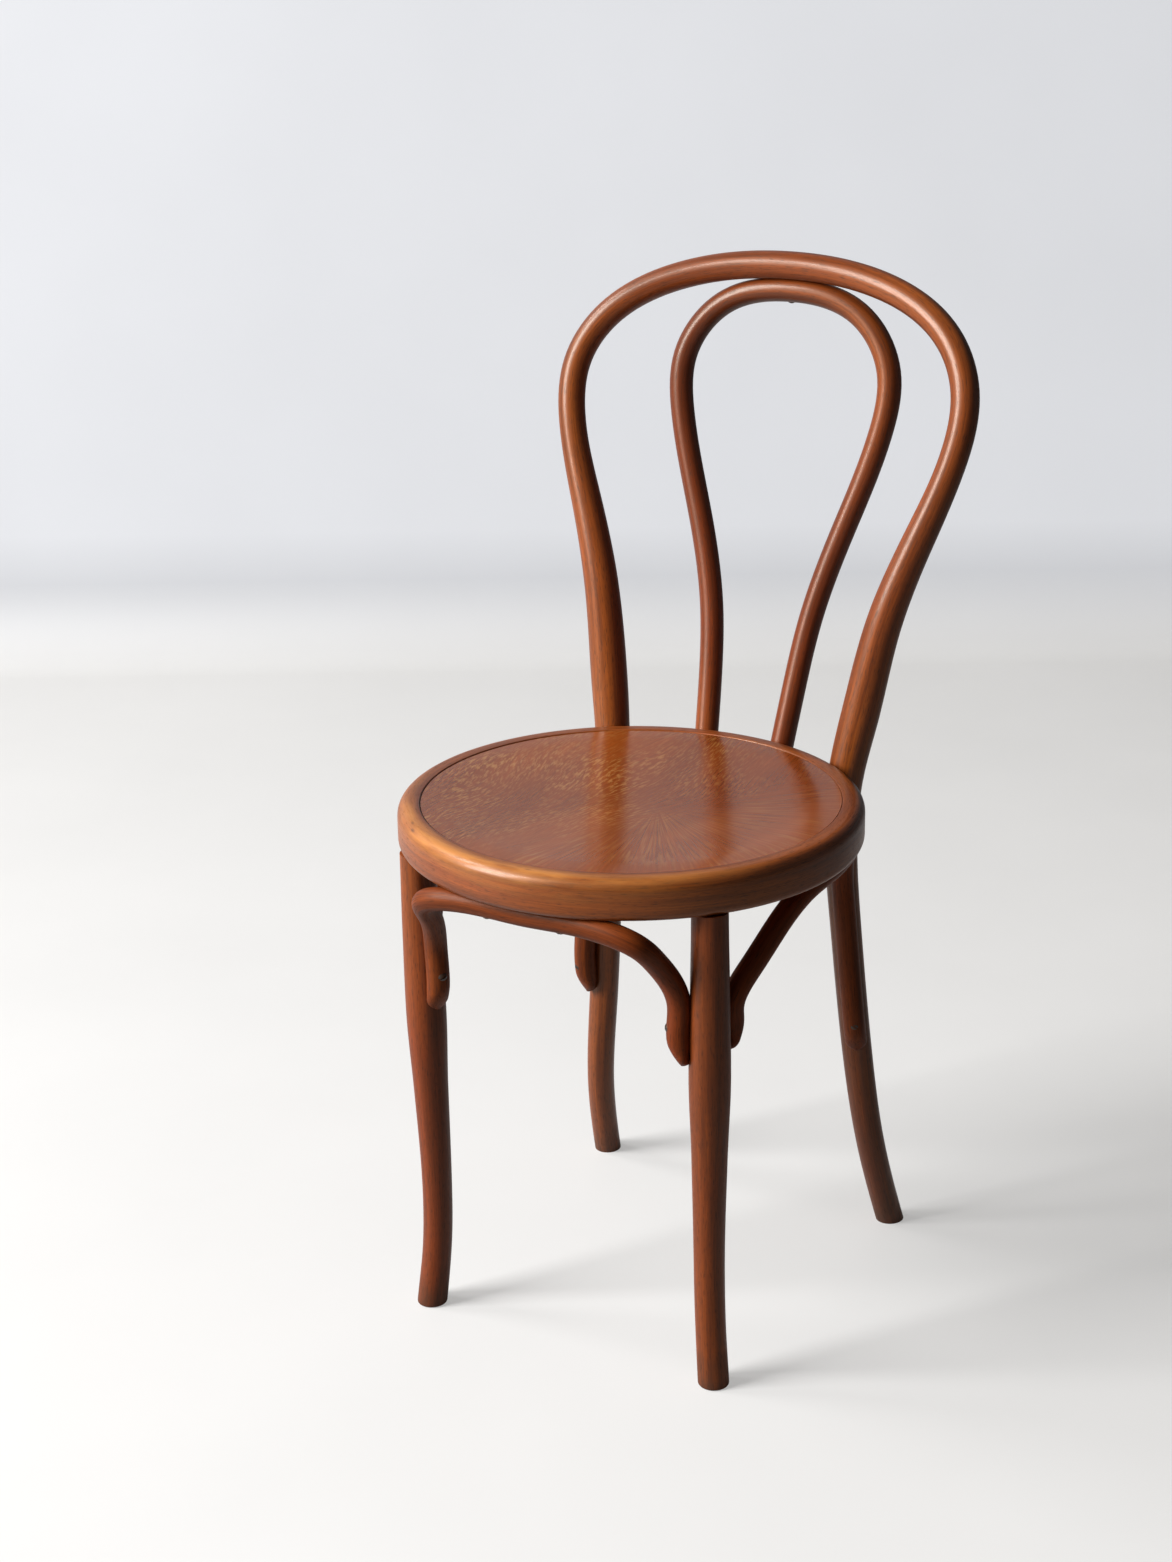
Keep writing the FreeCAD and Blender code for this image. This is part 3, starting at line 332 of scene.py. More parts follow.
class StudioLook(bpy.types.PropertyGroup):
    """Floor, wall and lamps"""
    floor: colour_property("Floor", "Colour of the floor", 0.80, 0.79, 0.775)
    wall: colour_property("Wall", "Colour of the wall", 0.78, 0.79, 0.82)
    window_power: FloatProperty(
        name="Window power", description="Light of the large soft window", default=470.0,
        min=0.0, unit="POWER")
    side_power: FloatProperty(
        name="Side power", description="Light of the smaller window at the side",
        default=85.0, min=0.0, unit="POWER")
    sky_strength: FloatProperty(
        name="Sky strength", description="Strength of the even light", default=0.025, min=0.0)
    sky_tone: FloatProperty(
        name="Sky tone", description="How pale the surroundings look", default=0.95, min=0.0)
    floor_share: share_property(
        "Floor share", "Part of the floor's tone that takes light and shadow", 0.50)
    wall_share: share_property(
        "Wall share", "Part of the wall's tone that takes light and shadow", 0.28)
    bounce: share_property(
        "Bounce", "How much of the light on the room reaches the chair", 0.45)
    near_glow: share_property(
        "Near glow", "Even part of the floor's tone in front of the chair", 0.54)
    far_glow: share_property(
        "Far glow", "Even part of the floor's tone at the wall", 0.42)
    wall_glow: share_property("Wall glow", "Even part of the wall's tone", 0.69)
    mirror_share: share_property(
        "Mirror share", "How strongly the varnish mirrors the pale room", 0.42)
    bright_width: FloatProperty(
        name="Bright width", description="How far to the right the varnish mirrors the pale room",
        default=1.0, min=0.0, unit="LENGTH")
    wall_distance: FloatProperty(
        name="Wall distance", description="Seat's middle to the wall behind it",
        default=1.97, min=0.5, unit="LENGTH")


# Bent rods


def smooth_slopes(knots, values):
    """Slopes of the smoothest curve through the values (a natural cubic spline)."""
    gaps = np.diff(knots)
    rates = np.diff(values) / gaps
    middle = np.concatenate(([1 / gaps[0]], 1 / gaps[:-1] + 1 / gaps[1:], [1 / gaps[-1]]))
    system = np.diag(2 * middle) + np.diag(1 / gaps, 1) + np.diag(1 / gaps, -1)
    pull = np.concatenate(([rates[0] / gaps[0]],
                           rates[:-1] / gaps[:-1] + rates[1:] / gaps[1:],
                           [rates[-1] / gaps[-1]]))
    return np.linalg.solve(system, 3 * pull)


def steady_slopes(knots, values):
    """Slopes of a curve through the values that never swings past them."""
    rates = np.diff(values) / np.diff(knots)
    inner = [2 * a * b / (a + b) if a * b > 0 else 0.0 for a, b in zip(rates, rates[1:])]
    return np.array([rates[0]] + inner + [rates[-1]])


class Spine:
    """A smooth line through stations, each x, y, z and the rod's diameter there."""

    def __init__(self, stations, whole=True):
        self.rows = np.array(stations, float)
        gaps = np.linalg.norm(np.diff(self.rows[:, :3], axis=0), axis=1)
        self.knots = np.concatenate(([0.0], np.cumsum(gaps)))
        columns = [smooth_slopes(self.knots, self.rows[:, k]) for k in range(3)]
        columns.append(steady_slopes(self.knots, self.rows[:, 3]))
        self.rates = np.array(columns).T
        self.length = self.knots[-1]
        self.first = 0.0 if whole else self.length / 2

    def at(self, where):
        """Point, direction and diameter at a distance along the line."""
        i = int(np.clip(np.searchsorted(self.knots, where) - 1, 0, len(self.knots) - 2))
        gap = self.knots[i + 1] - self.knots[i]
        part = (where - self.knots[i]) / gap
        a, b = self.rows[i], self.rows[i + 1]
        s0, s1 = self.rates[i], self.rates[i + 1]
        bend = 3 * (b - a) - gap * (2 * s0 + s1)
        twist = gap * (s0 + s1) - 2 * (b - a)
        value = a + part * (gap * s0 + part * (bend + part * twist))
        slope = s0 + part * (2 * bend + 3 * part * twist) / gap
        return Vector(value[:3]), Vector(slope[:3]).normalized(), float(value[3])

    def search(self, measure, wanted):
        """The same where a measure of the point, which grows or falls steadily, is as wanted."""
        low, high = self.first, self.length
        growing = measure(self.at(low)[0]) < measure(self.at(high)[0])
        for _ in range(HALVINGS):
            middle = (low + high) / 2
            if (measure(self.at(middle)[0]) < wanted) == growing:
                low = middle
            else:
                high = middle
        return self.at(middle)

    def at_height(self, z):
        """The same at a height: on a leg, or on the left side of a bow."""
        return self.search(lambda point: point.z, z)

    def at_turn(self, degrees):
        """The same at an angle round the seat, from the left side towards the back."""
        return self.search(lambda p: math.degrees(math.atan2(p.y - SEAT_Y, p.x)), degrees)


def mirrored(stations):
    """Stations of a whole rod, from those of its left half that end in the middle plane."""
    right = [(-x, y, z, width) for x, y, z, width in stations]
    return right + list(stations[-2::-1])


def run_on(stations):
    """Stations with one more past each end that a plane cuts off."""
    line = Spine(stations)
    start, ahead, first = line.at(0.0)
    end, onward, last = line.at(line.length)
    return ([(*(start - ahead * BEYOND), first)] + stations
            + [(*(end + onward * BEYOND), last)])


def direction(degrees):
    """A level direction, degrees counted from the left side towards the back."""
    turn = math.radians(degrees)
    return Vector((math.cos(turn), math.sin(turn), 0.0))


class Shape:
    """The lines of all the rods, worked out from the sizes."""

    def __init__(self, sizes):
        self.sizes = sizes
        self.ring_base = sizes.seat_height - sizes.ring_height
        self.axis = Vector((0.0, SEAT_Y, 0.0))
        self.post_out = direction(90 - POST_ANGLE)
        self.post = self.axis + self.post_out * (sizes.seat_radius + HOOP_LEG[-1][3] / 2
                                                 - POST_BITE)
        self.crest = Vector((0.0, self.post.y + CREST_BACK, sizes.seat_height + CREST_RISE))
        tilt = math.radians(CREST_TILT)
        self.crest_line = Vector((0.0, math.sin(tilt), -math.cos(tilt)))
        gap = (HOOP_BOW[-1][3] + sizes.bow_width) / 2 - CREST_BITE
        self.bow_crest = self.crest + self.crest_line * gap
        self.leg = self.leg_line()
        self.hoop = self.hoop_line()
        self.bow = self.bow_line()
        self.front_turn = direction(180 + FRONT_FOOT[0])
        self.side_turn = direction(90 - SIDE_FOOT[0])
        self.rear_turn = direction(REAR_FOOT[0] - 90)
        self.front = self.front_line()
        self.side = self.side_line()

    def leg_line(self):
        outward = direction(LEG_ANGLE - 90)
        back = direction(LEG_ANGLE)
        top = self.axis + outward * (self.sizes.seat_radius - LEG_INSET)
        rows = []
        for height, out, width in LEG:
            lean = LEG_LEAN * (1 - height / self.ring_base)
            point = top + outward * out + back * lean
            rows.append((point.x, point.y, height, width))
        return Spine(rows)

    def hoop_line(self):
        seat = self.sizes.seat_height
        half = [(self.post.x + out, self.post.y + back, height, width)
                for out, back, height, width in HOOP_LEG]
        half += [(wide, self.post.y + back, seat + rise, width)
                 for wide, back, rise, width in HOOP_BACK]
        half += [(wide, self.crest.y - ahead, self.crest.z - fall, width)
                 for wide, ahead, fall, width in HOOP_BOW]
        return Spine(run_on(mirrored(half)), whole=False)

    def bow_line(self):
        sizes = self.sizes
        width = sizes.bow_width
        radius = sizes.seat_radius + width / 2 - BOW_BITE
        end_y = SEAT_Y + math.sqrt(radius ** 2 - BOW_LOW[0][0] ** 2)
        self.bow_out = Vector((BOW_LOW[0][0], end_y - SEAT_Y, 0.0)).normalized()
        half = [(wide, end_y + back, sizes.seat_height + rise, width)
                for wide, back, rise in BOW_LOW]
        half += [(wide, self.bow_crest.y - ahead, self.crest.z - fall, width)
                 for wide, ahead, fall in BOW_HIGH]
        half.append((*self.bow_crest, width))
        return Spine(run_on(mirrored(half)), whole=False)

    def under_seat(self, inset, degrees, drop):
        """A station of a bracket under the ring."""
        point = self.axis + direction(degrees) * (self.sizes.seat_radius - inset)
        return point.x, point.y, self.ring_base - drop, self.sizes.rail_width

    def beside(self, line, height, turn, width):
        """A station beside a leg, turned round its axis, let in by the bite."""
        centre, _, leg_width = line.at_height(height)
        point = centre + turn * ((leg_width + width) / 2 - RAIL_BITE)
        return point.x, point.y, point.z, width

    def foot(self, line, turn, tip_drop, heel_drops):
        """The foot of a bracket, from its slanted tip up to its heel."""
        tip = self.ring_base - tip_drop
        heights = [(tip, SCARF_TIP), (tip + SCARF, self.sizes.rail_width)]
        heights += [(self.ring_base - drop, self.sizes.rail_width) for drop in heel_drops]
        return [self.beside(line, height, turn, width) for height, width in heights]

    def front_line(self):
        half = self.foot(self.leg, self.front_turn, *FRONT_FOOT[1:])
        half += [self.under_seat(inset, angle - 90, drop) for inset, angle, drop in FRONT_RAIL]
        return Spine(mirrored(half))

    def side_line(self):
        rows = self.foot(self.leg, self.side_turn, *SIDE_FOOT[1:])
        rows += [self.under_seat(*station) for station in SIDE_RAIL]
        rows += self.foot(self.hoop, self.rear_turn, *REAR_FOOT[1:])[::-1]
        return Spine(rows)

    def foot_screw(self, line, drop, turn):
        """Seat and outward direction of a screw through a bracket's foot."""
        height = self.ring_base - drop
        _, along, _ = line.at_height(height)
        point = Vector(self.beside(line, height, turn, self.sizes.rail_width)[:3])
        outward = (turn - along * turn.dot(along)).normalized()
        return point + outward * (self.sizes.rail_width / 2 - SPOT_DEPTH), outward

    def rail_screw(self, line, degrees):
        """The same for a screw up through a bracket into the ring."""
        point = line.at_turn(degrees)[0]
        return point + DOWN * (self.sizes.rail_width / 2 - SPOT_DEPTH), DOWN


def the_shape():
    """The lines for the sizes that are set in the sidebar."""
    return Shape(bpy.context.scene.chair_sizes)


# Meshes


def new_mesh(bm, name):
    """The smooth mesh of a bmesh, which is used up."""
    mesh = bpy.data.meshes.new(name)
    bm.to_mesh(mesh)
    bm.free()
    mesh.shade_smooth()
    return mesh


def new_object(name, data):
    """A new object in the scene."""
    made = bpy.data.objects.new(name, data)
    bpy.context.scene.collection.objects.link(made)
    return made


def finished(bm, name, *nodes, slot="stained_beech", material=None, sharp=40):
    """Makes a piece of a bmesh: smooth, dressed, riding on the chair, in its nodes' place."""
    bmesh.ops.remove_doubles(bm, verts=bm.verts, dist=MERGE)
    wires = [edge for edge in bm.edges if edge.is_wire]
    bmesh.ops.delete(bm, geom=wires, context="EDGES")
    bmesh.ops.recalc_face_normals(bm, faces=bm.faces)
    mesh = new_mesh(bm, name)
    mesh.set_sharp_from_angle(angle=math.radians(sharp))
    mesh.materials.append(material)
    piece = new_object(name, mesh)
    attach(piece, ROOT)
    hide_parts(*nodes)


def points_in(made):
    """The points among the items that an operator made."""
    return [item for item in made if isinstance(item, bmesh.types.BMVert)]


def cut(bm, point, normal, **settings):
    """Cuts a bmesh along a plane; returns the points and edges of the cut."""
    everything = list(bm.verts) + list(bm.edges) + list(bm.faces)
    return bmesh.ops.bisect_plane(bm, geom=everything, plane_co=point, plane_no=normal,
                                  **settings)["geom_cut"]


def cut_off(bm, height, normal, rounding=0.0):
    """Cuts away what lies beyond a level plane, closes the cut and rounds its edge."""
    made = cut(bm, (0.0, 0.0, height), normal, clear_outer=True)
    rim = [item for item in made if isinstance(item, bmesh.types.BMEdge)]
    bmesh.ops.holes_fill(bm, edges=rim, sides=0)
    if rounding:
        bmesh.ops.bevel(bm, geom=rim, offset=rounding, offset_type="OFFSET",
                        segments=END_STEPS, profile=0.5, affect="EDGES", material=-1,
                        clamp_overlap=True)


def nose(line, where, feet):
    """The widening of a rod that ends in a rounded nose, at a place near one of its feet."""
    for start, turn in feet:
        from_tip = abs(where - start * line.length)
        if from_tip < SCARF:
            width = line.at(where)[2]
            full = line.at(abs(start * line.length - SCARF))[2]
            part = 1 - min(1.0, from_tip / NOSE)
            wanted = full * max(NOSE_TIP, math.sqrt(1 - part ** 2))
            return Matrix.Scale(wanted / width, 4, turn.cross(UP))
    return Matrix.Identity(4)


def sweep(line, step=ROD_STEP, feet=()):
    """A bmesh of the rod along a line, with the place of each point in the straight stick."""
    bm = bmesh.new()
    stick = bm.verts.layers.float_vector.new("stick")
    ring = bmesh.ops.create_circle(bm, cap_ends=False, radius=1.0, segments=ROD_SIDES)["verts"]
    edges = list(bm.edges)
    before = Matrix.Identity(4)
    side = None
    places = set(np.linspace(0.0, line.length, round(line.length / step) + 1))
    for start, _ in feet:
        places.update(abs(start * line.length - near)
                      for near in np.linspace(0.0, NOSE, NOSE_STEPS))
    for where in sorted(places):
        centre, along, width = line.at(where)
        if side is None:
            side = along.cross(Vector((0.0, 1.0, 0.0)))
        else:
            made = bmesh.ops.extrude_edge_only(bm, edges=edges)["geom"]
            ring = points_in(made)
            new = set(ring)
            edges = [item for item in made if isinstance(item, bmesh.types.BMEdge)
                     and item.verts[0] in new and item.verts[1] in new]
        side = (side - along * side.dot(along)).normalized()
        placed = Matrix((side, along.cross(side), along)).transposed().to_4x4()
        placed = (Matrix.Translation(centre) @ nose(line, where, feet) @ placed
                  @ Matrix.Scale(width / 2, 4))
        bmesh.ops.transform(bm, matrix=placed @ before.inverted(), verts=ring)
        before = placed
        back = placed.inverted()
        for vert in ring:
            flat = back @ vert.co
            vert[stick] = (flat.x * width / 2, flat.y * width / 2, where)
    bmesh.ops.holes_fill(bm, edges=bm.edges, sides=ROD_SIDES)
    return bm


def spin(bm, steps):
    """Turns the points and edges of a bmesh once round the Z axis."""
    bmesh.ops.spin(bm, geom=list(bm.verts) + list(bm.edges), cent=(0.0, 0.0, 0.0), axis=UP,
                   dvec=(0.0, 0.0, 0.0), angle=math.tau, steps=steps, use_merge=True)


def spun(corners, rounded, z):
    """A bmesh turned round the seat's axis from a closed section with some rounded corners."""
    bm = bmesh.new()
    verts = [bm.verts.new((x, 0.0, height)) for x, height in corners]
    bm.faces.new(verts)
    for index, radius in rounded:
        bmesh.ops.bevel(bm, geom=[verts[index]], offset=radius, offset_type="OFFSET",
                        segments=ROUND_STEPS, profile=0.5, affect="VERTICES", material=-1)
    bmesh.ops.delete(bm, geom=list(bm.faces), context="FACES_ONLY")
    spin(bm, RING_STEPS)
    bmesh.ops.translate(bm, verts=bm.verts, vec=(0.0, SEAT_Y, z))
    return bm


# Materials


def fill(tree, node, sockets):
    """Gives each named socket of a node a value or a link."""
    for key, value in sockets.items():
        if isinstance(value, bpy.types.NodeSocket):
            tree.links.new(value, node.inputs[key])
        else:
            node.inputs[key].default_value = value
    return node


def add(tree, kind, sockets=None, **settings):
    """A new node with its settings, values and links."""
    node = tree.nodes.new(kind)
    for key, value in settings.items():
        setattr(node, key, value)
    return fill(tree, node, sockets or {})


def new_group(name, inputs, outputs):
    """A shader group; returns its tree, what comes in, and its output node."""
    tree = bpy.data.node_groups.new(name, "ShaderNodeTree")
    for label, kind, default in inputs:
        socket = tree.interface.new_socket(label, in_out="INPUT", socket_type=kind)
        socket.default_value = default
    for label, kind in outputs:
        tree.interface.new_socket(label, in_out="OUTPUT", socket_type=kind)
    return tree, tree.nodes.new("NodeGroupInput").outputs, tree.nodes.new("NodeGroupOutput")


def use_group(tree, maker, sockets):
    """The outputs of a group in a material; it is built the first time it is used."""
    group = bpy.data.node_groups.get(maker.__name__) or maker()
    return add(tree, "ShaderNodeGroup", sockets, node_tree=group).outputs


def math_node(tree, operation, first, second):
    """A math node's result."""
    return add(tree, "ShaderNodeMath", {0: first, 1: second}, operation=operation).outputs[0]


def plus(tree, first, second):
    """The sum of two values."""
    return math_node(tree, "ADD", first, second)


def times(tree, first, second):
    """The product of two values."""
    return math_node(tree, "MULTIPLY", first, second)


def vector_node(tree, operation, first, second=(0.0, 0.0, 0.0), result="Vector"):
    """A vector math node's result."""
    return add(tree, "ShaderNodeVectorMath", {0: first, 1: second},
               operation=operation).outputs[result]


def noise(tree, vector, scale, detail=2.0, rough=0.5):
    """A noise stretched by a scale per metre along each axis."""
    return add(tree, "ShaderNodeTexNoise",
               {"Vector": vector_node(tree, "MULTIPLY", vector, scale), "Scale": 1.0,
                "Detail": detail, "Roughness": rough}).outputs["Fac"]


def ramp(tree, value, low, high, start=0.0, end=1.0):
    """A value mapped from one range to another and clamped."""
    return add(tree, "ShaderNodeMapRange",
               {"Value": value, "From Min": low, "From Max": high, "To Min": start,
                "To Max": end}).outputs["Result"]


def mix(tree, factor, first, second, blend="MIX"):
    """Two colours mixed."""
    return add(tree, "ShaderNodeMix", {"Factor": factor, 6: first, 7: second},
               data_type="RGBA", blend_type=blend).outputs[2]


def grey(tree, value):
    """A value as a colour."""
    return add(tree, "ShaderNodeCombineColor",
               {"Red": value, "Green": value, "Blue": value}).outputs[0]


def shade(tree, colour, value):
    """A colour made darker or lighter by a value."""
    return mix(tree, 1.0, colour, grey(tree, value), "MULTIPLY")


def stained_grain():
    """Long grain, fibres and pores of stained beech, along the third coordinate."""
    tree, given, result = new_group("stained_grain", (
        ("Stick", "NodeSocketVector", (0.0, 0.0, 0.0)),
        ("Seed", "NodeSocketFloat", 0.0),
        ("Redness", "NodeSocketFloat", 0.5),
        ("Amber", "NodeSocketColor", (0.4, 0.15, 0.04, 1.0)),
        ("Red", "NodeSocketColor", (0.25, 0.06, 0.02, 1.0)),
        ("Brown", "NodeSocketColor", (0.2, 0.05, 0.01, 1.0)),
        ("Pore", "NodeSocketColor", (0.05, 0.01, 0.01, 1.0)),
    ), (("Color", "NodeSocketColor"), ("Roughness", "NodeSocketFloat"),
        ("Height", "NodeSocketFloat")))
    stick = vector_node(tree, "ADD", given["Stick"], given["Seed"])
    stain = noise(tree, stick, STAIN_SCALE)
    band = noise(tree, stick, BAND_SCALE)
    streak = noise(tree, stick, STREAK_SCALE, 3.0, 0.6)
    fibre = noise(tree, stick, FIBRE_SCALE, 2.0, 0.6)
    pores = noise(tree, stick, PORE_SCALE, 1.0)
    wave = noise(tree, stick, WAVE_SCALE, 1.0)
    redness = plus(tree, given["Redness"], ramp(tree, stain, 0.32, 0.68, -0.4, 0.5))
    light = mix(tree, redness, given["Amber"], given["Red"])
    blend = plus(tree, times(tree, band, 0.5), times(tree, streak, 0.5))
    colour = mix(tree, ramp(tree, blend, 0.36, 0.62, 0.05, 1.0), given["Brown"], light)
    colour = shade(tree, colour, ramp(tree, fibre, 0.3, 0.7, 0.76, 1.14))
    pore = ramp(tree, pores, 0.56, 0.74, 0.0, 0.7)
    height = math_node(tree, "SUBTRACT", times(tree, fibre, 0.3), times(tree, pore, 0.8))
    fill(tree, result, {
        "Color": mix(tree, pore, colour, given["Pore"]),
        "Roughness": plus(tree, ramp(tree, fibre, 0.3, 0.7, 0.34, 0.44),
                          times(tree, pore, 0.2)),
        "Height": plus(tree, height, times(tree, wave, 3.0))})
    return tree


def floor_wear():
    """Dirt and scuffs that fade out above the floor."""
    tree, given, result = new_group("floor_wear", (
        ("Place", "NodeSocketVector", (0.0, 0.0, 0.0)),
        ("Reach", "NodeSocketFloat", 0.035),
    ), (("Mask", "NodeSocketFloat"),))
    height = add(tree, "ShaderNodeSeparateXYZ", {0: given["Place"]}).outputs[2]
    patch = noise(tree, given["Place"], SCUFF_SCALE, 3.0, 0.6)
    lifted = plus(tree, math_node(tree, "DIVIDE", height, given["Reach"]),
                  ramp(tree, patch, 0.3, 0.7, -0.45, 0.45))
    fill(tree, result, {"Mask": ramp(tree, lifted, 0.05, 1.0, 0.65, 0.0)})
    return tree


def rubbed_edge_and_sheen():
    """Wood rubbed golden, which also paints a highlight, broken up along the grain, with small
    dark nicks.
    """
    tree, given, result = new_group("rubbed_edge_and_sheen", (
        ("Stick", "NodeSocketVector", (0.0, 0.0, 0.0)),
        ("Amount", "NodeSocketFloat", 0.0),
    ), (("Mask", "NodeSocketFloat"), ("Nicks", "NodeSocketFloat")))
    patch = noise(tree, given["Stick"], RUB_SCALE, 4.0, 0.65)
    amount = times(tree, given["Amount"], ramp(tree, patch, 0.3, 0.65, 0.3, 1.15))
    cells = vector_node(tree, "MULTIPLY", given["Stick"], NICK_SCALE)
    spots = add(tree, "ShaderNodeTexVoronoi",
                {"Vector": cells, "Scale": 1.0, "Randomness": 1.0}).outputs["Distance"]
    fill(tree, result, {
        "Mask": ramp(tree, amount, 0.1, 0.85, 0.0, 0.9),
        "Nicks": times(tree, ramp(tree, spots, 0.07, 0.17, 0.9, 0.0), given["Amount"])})
    return tree


def new_material(name):
    """A new material; returns it, its tree and its shader."""
    material = bpy.data.materials.new(name)
    material.use_nodes = True
    tree = material.node_tree
    tree.nodes.clear()
    shader = tree.nodes.new("ShaderNodeBsdfPrincipled")
    add(tree, "ShaderNodeOutputMaterial", {"Surface": shader.outputs[0]})
    return material, tree, shader


def dress(tree, shader, colour, rough, height, relief=0.4):
    """Gives a shader its colour, roughness and small relief."""
    bump = add(tree, "ShaderNodeBump",
               {"Strength": relief, "Distance": BUMP_DEPTH, "Height": height})
    fill(tree, shader, {"Base Color": colour, "Roughness": rough, "Normal": bump.outputs[0]})


def varnish(shader, coat=COAT):
    """A satin varnish over the wood; where less is left of it, the wood mirrors less."""
    shader.inputs["IOR"].default_value = 1.5
    shader.inputs["Specular IOR Level"].default_value = 0.15 + 2 * coat
    shader.inputs["Specular Tint"].default_value = (1.0, 0.78, 0.6, 1.0)
    shader.inputs["Coat Weight"].default_value = coat
    shader.inputs["Coat Roughness"].default_value = 0.15


def beech(name, edge=False):
    """Stained and varnished beech, with its grain along the stick that was bent."""
    seed, redness, dull = WOODS[name]
    finish = bpy.context.scene.chair_finish
    material, tree, shader = new_material("beech_" + name)
    stick = add(tree, "ShaderNodeAttribute", attribute_name="stick").outputs["Vector"]
    place = add(tree, "ShaderNodeTexCoord").outputs["Object"]
    grain = use_group(tree, stained_grain, {
        "Stick": stick, "Seed": seed, "Redness": redness, "Amber": finish.amber,
        "Red": finish.red, "Brown": finish.brown, "Pore": finish.pore})
    dirt = use_group(tree, floor_wear, {"Place": place})["Mask"]
    colour = mix(tree, dirt, grain["Color"], DIRT)
    rough = plus(tree, plus(tree, grain["Roughness"], dull), times(tree, dirt, 0.3))
    height = grain["Height"]
    if edge:
        # Golden patches on the ring's top edge: rubbed-off stain and a painted highlight; the
        # dark nicks are real marks
        wear_and_sheen = add(tree, "ShaderNodeAttribute", attribute_name="wear_and_sheen").outputs["Fac"]
        rubbed = use_group(tree, rubbed_edge_and_sheen, {"Stick": stick, "Amount": wear_and_sheen})
        colour = mix(tree, rubbed["Mask"], colour, finish.worn)
        colour = mix(tree, rubbed["Nicks"], colour, finish.pore)
        height = math_node(tree, "SUBTRACT", height, times(tree, rubbed["Nicks"], 1.5))
    dress(tree, shader, colour, rough, height)
    varnish(shader, COAT - dull)
    return material


def veneer():
    """The seat panel's rotary cut veneer, its rays fanning out towards one side."""
    finish = bpy.context.scene.chair_finish
    material, tree, shader = new_material("seat_veneer")
    place = add(tree, "ShaderNodeTexCoord").outputs["Object"]
    centred = vector_node(tree, "SUBTRACT", place, (0.0, SEAT_Y, 0.0))
    x, y, _ = add(tree, "ShaderNodeSeparateXYZ", {0: centred}).outputs
    warp = ramp(tree, noise(tree, centred, WARP_SCALE, 1.0), 0.3, 0.7, -0.02, 0.02)
    flow = add(tree, "ShaderNodeCombineXYZ", {0: plus(tree, x, warp), 1: y}).outputs[0]
    from_fan = vector_node(tree, "SUBTRACT", centred, FAN_MIDDLE)
    fan_x, fan_y, _ = add(tree, "ShaderNodeSeparateXYZ", {0: from_fan}).outputs
    turn = math_node(tree, "ARCTAN2", fan_y, fan_x)
    reach = vector_node(tree, "LENGTH", from_fan, result="Value")
    fan_flow = add(tree, "ShaderNodeCombineXYZ",
                   {0: times(tree, turn, FAN_REACH), 1: reach}).outputs[0]
    onward = vector_node(tree, "DOT_PRODUCT", from_fan, FAN_HEADING, "Value")
    fanned = ramp(tree, onward, -0.01, 0.05)
    straight = math_node(tree, "SUBTRACT", 1.0, fanned)
    fibre, rays = [plus(tree, times(tree, noise(tree, fan_flow, scale, 2.0, 0.6), fanned),
                        times(tree, noise(tree, flow, scale, 2.0, 0.6), straight))
                   for scale in (VENEER_FIBRE_SCALE, RAY_SCALE)]
    tone = ramp(tree, noise(tree, flow, TONE_SCALE), 0.35, 0.65)
    colour = mix(tree, tone, finish.veneer_deep, finish.veneer)
    colour = shade(tree, colour, ramp(tree, fibre, 0.32, 0.68, 0.82, 1.14))
    left = ramp(tree, x, -0.03, 0.08, 1.0, 0.45)
    patch = ramp(tree, noise(tree, flow, FLECKED_SCALE), 0.38, 0.62, 0.12, 0.6)
    fleck = times(tree, ramp(tree, rays, 0.48, 0.66), times(tree, left, patch))
    height = plus(tree, times(tree, fibre, 0.08),
                  times(tree, noise(tree, flow, PANEL_WAVE_SCALE), 2.0))
    dress(tree, shader, mix(tree, fleck, colour, finish.fleck),
          ramp(tree, fibre, 0.3, 0.7, 0.18, 0.22), height, 0.5)
    varnish(shader)
    return material


def dark_steel():
    """Darkened steel with traces of varnish and dirt, one for all screws and bolts."""
    made = bpy.data.materials.get("screw_steel")
    if made:
        return made
    finish = bpy.context.scene.chair_finish
    material, tree, shader = new_material("screw_steel")
    place = add(tree, "ShaderNodeTexCoord").outputs["Object"]
    patch = noise(tree, place, STEEL_SCALE, 3.0, 0.6)
    colour = mix(tree, ramp(tree, patch, 0.4, 0.65), finish.steel, STEEL_TRACES)
    dress(tree, shader, colour, ramp(tree, patch, 0.35, 0.65, 0.32, 0.6), patch)
    shader.inputs["Metallic"].default_value = 0.8
    return material


# Operators, one for each piece or group of like pieces


class ChairOperator(bpy.types.Operator):
    """Base of the operators that build the chair"""
    bl_options = {"REGISTER", "UNDO"}


class CHAIR_OT_rear_hoop(ChairOperator):
    """Bends the long rod that makes both rear legs and the outer back bow"""
    bl_idname = "chair.rear_hoop"
    bl_label = "Rear Hoop"

    def execute(self, context):
        bm = sweep(the_shape().hoop)
        cut_off(bm, 0.0, DOWN, context.scene.chair_sizes.foot_round)
        finished(bm, "rear_hoop_rod", "rear_hoop", material=beech("hoop"))
        return {"FINISHED"}


class CHAIR_OT_inner_bow(ChairOperator):
    """Bends the smaller bow inside the back"""
    bl_idname = "chair.inner_bow"
    bl_label = "Inner Bow"

    def execute(self, context):
        shape = the_shape()
        bm = sweep(shape.bow)
        cut_off(bm, shape.ring_base, DOWN, context.scene.chair_sizes.edge_round)
        finished(bm, "inner_bow_rod", "inner_bow", material=beech("bow"))
        return {"FINISHED"}


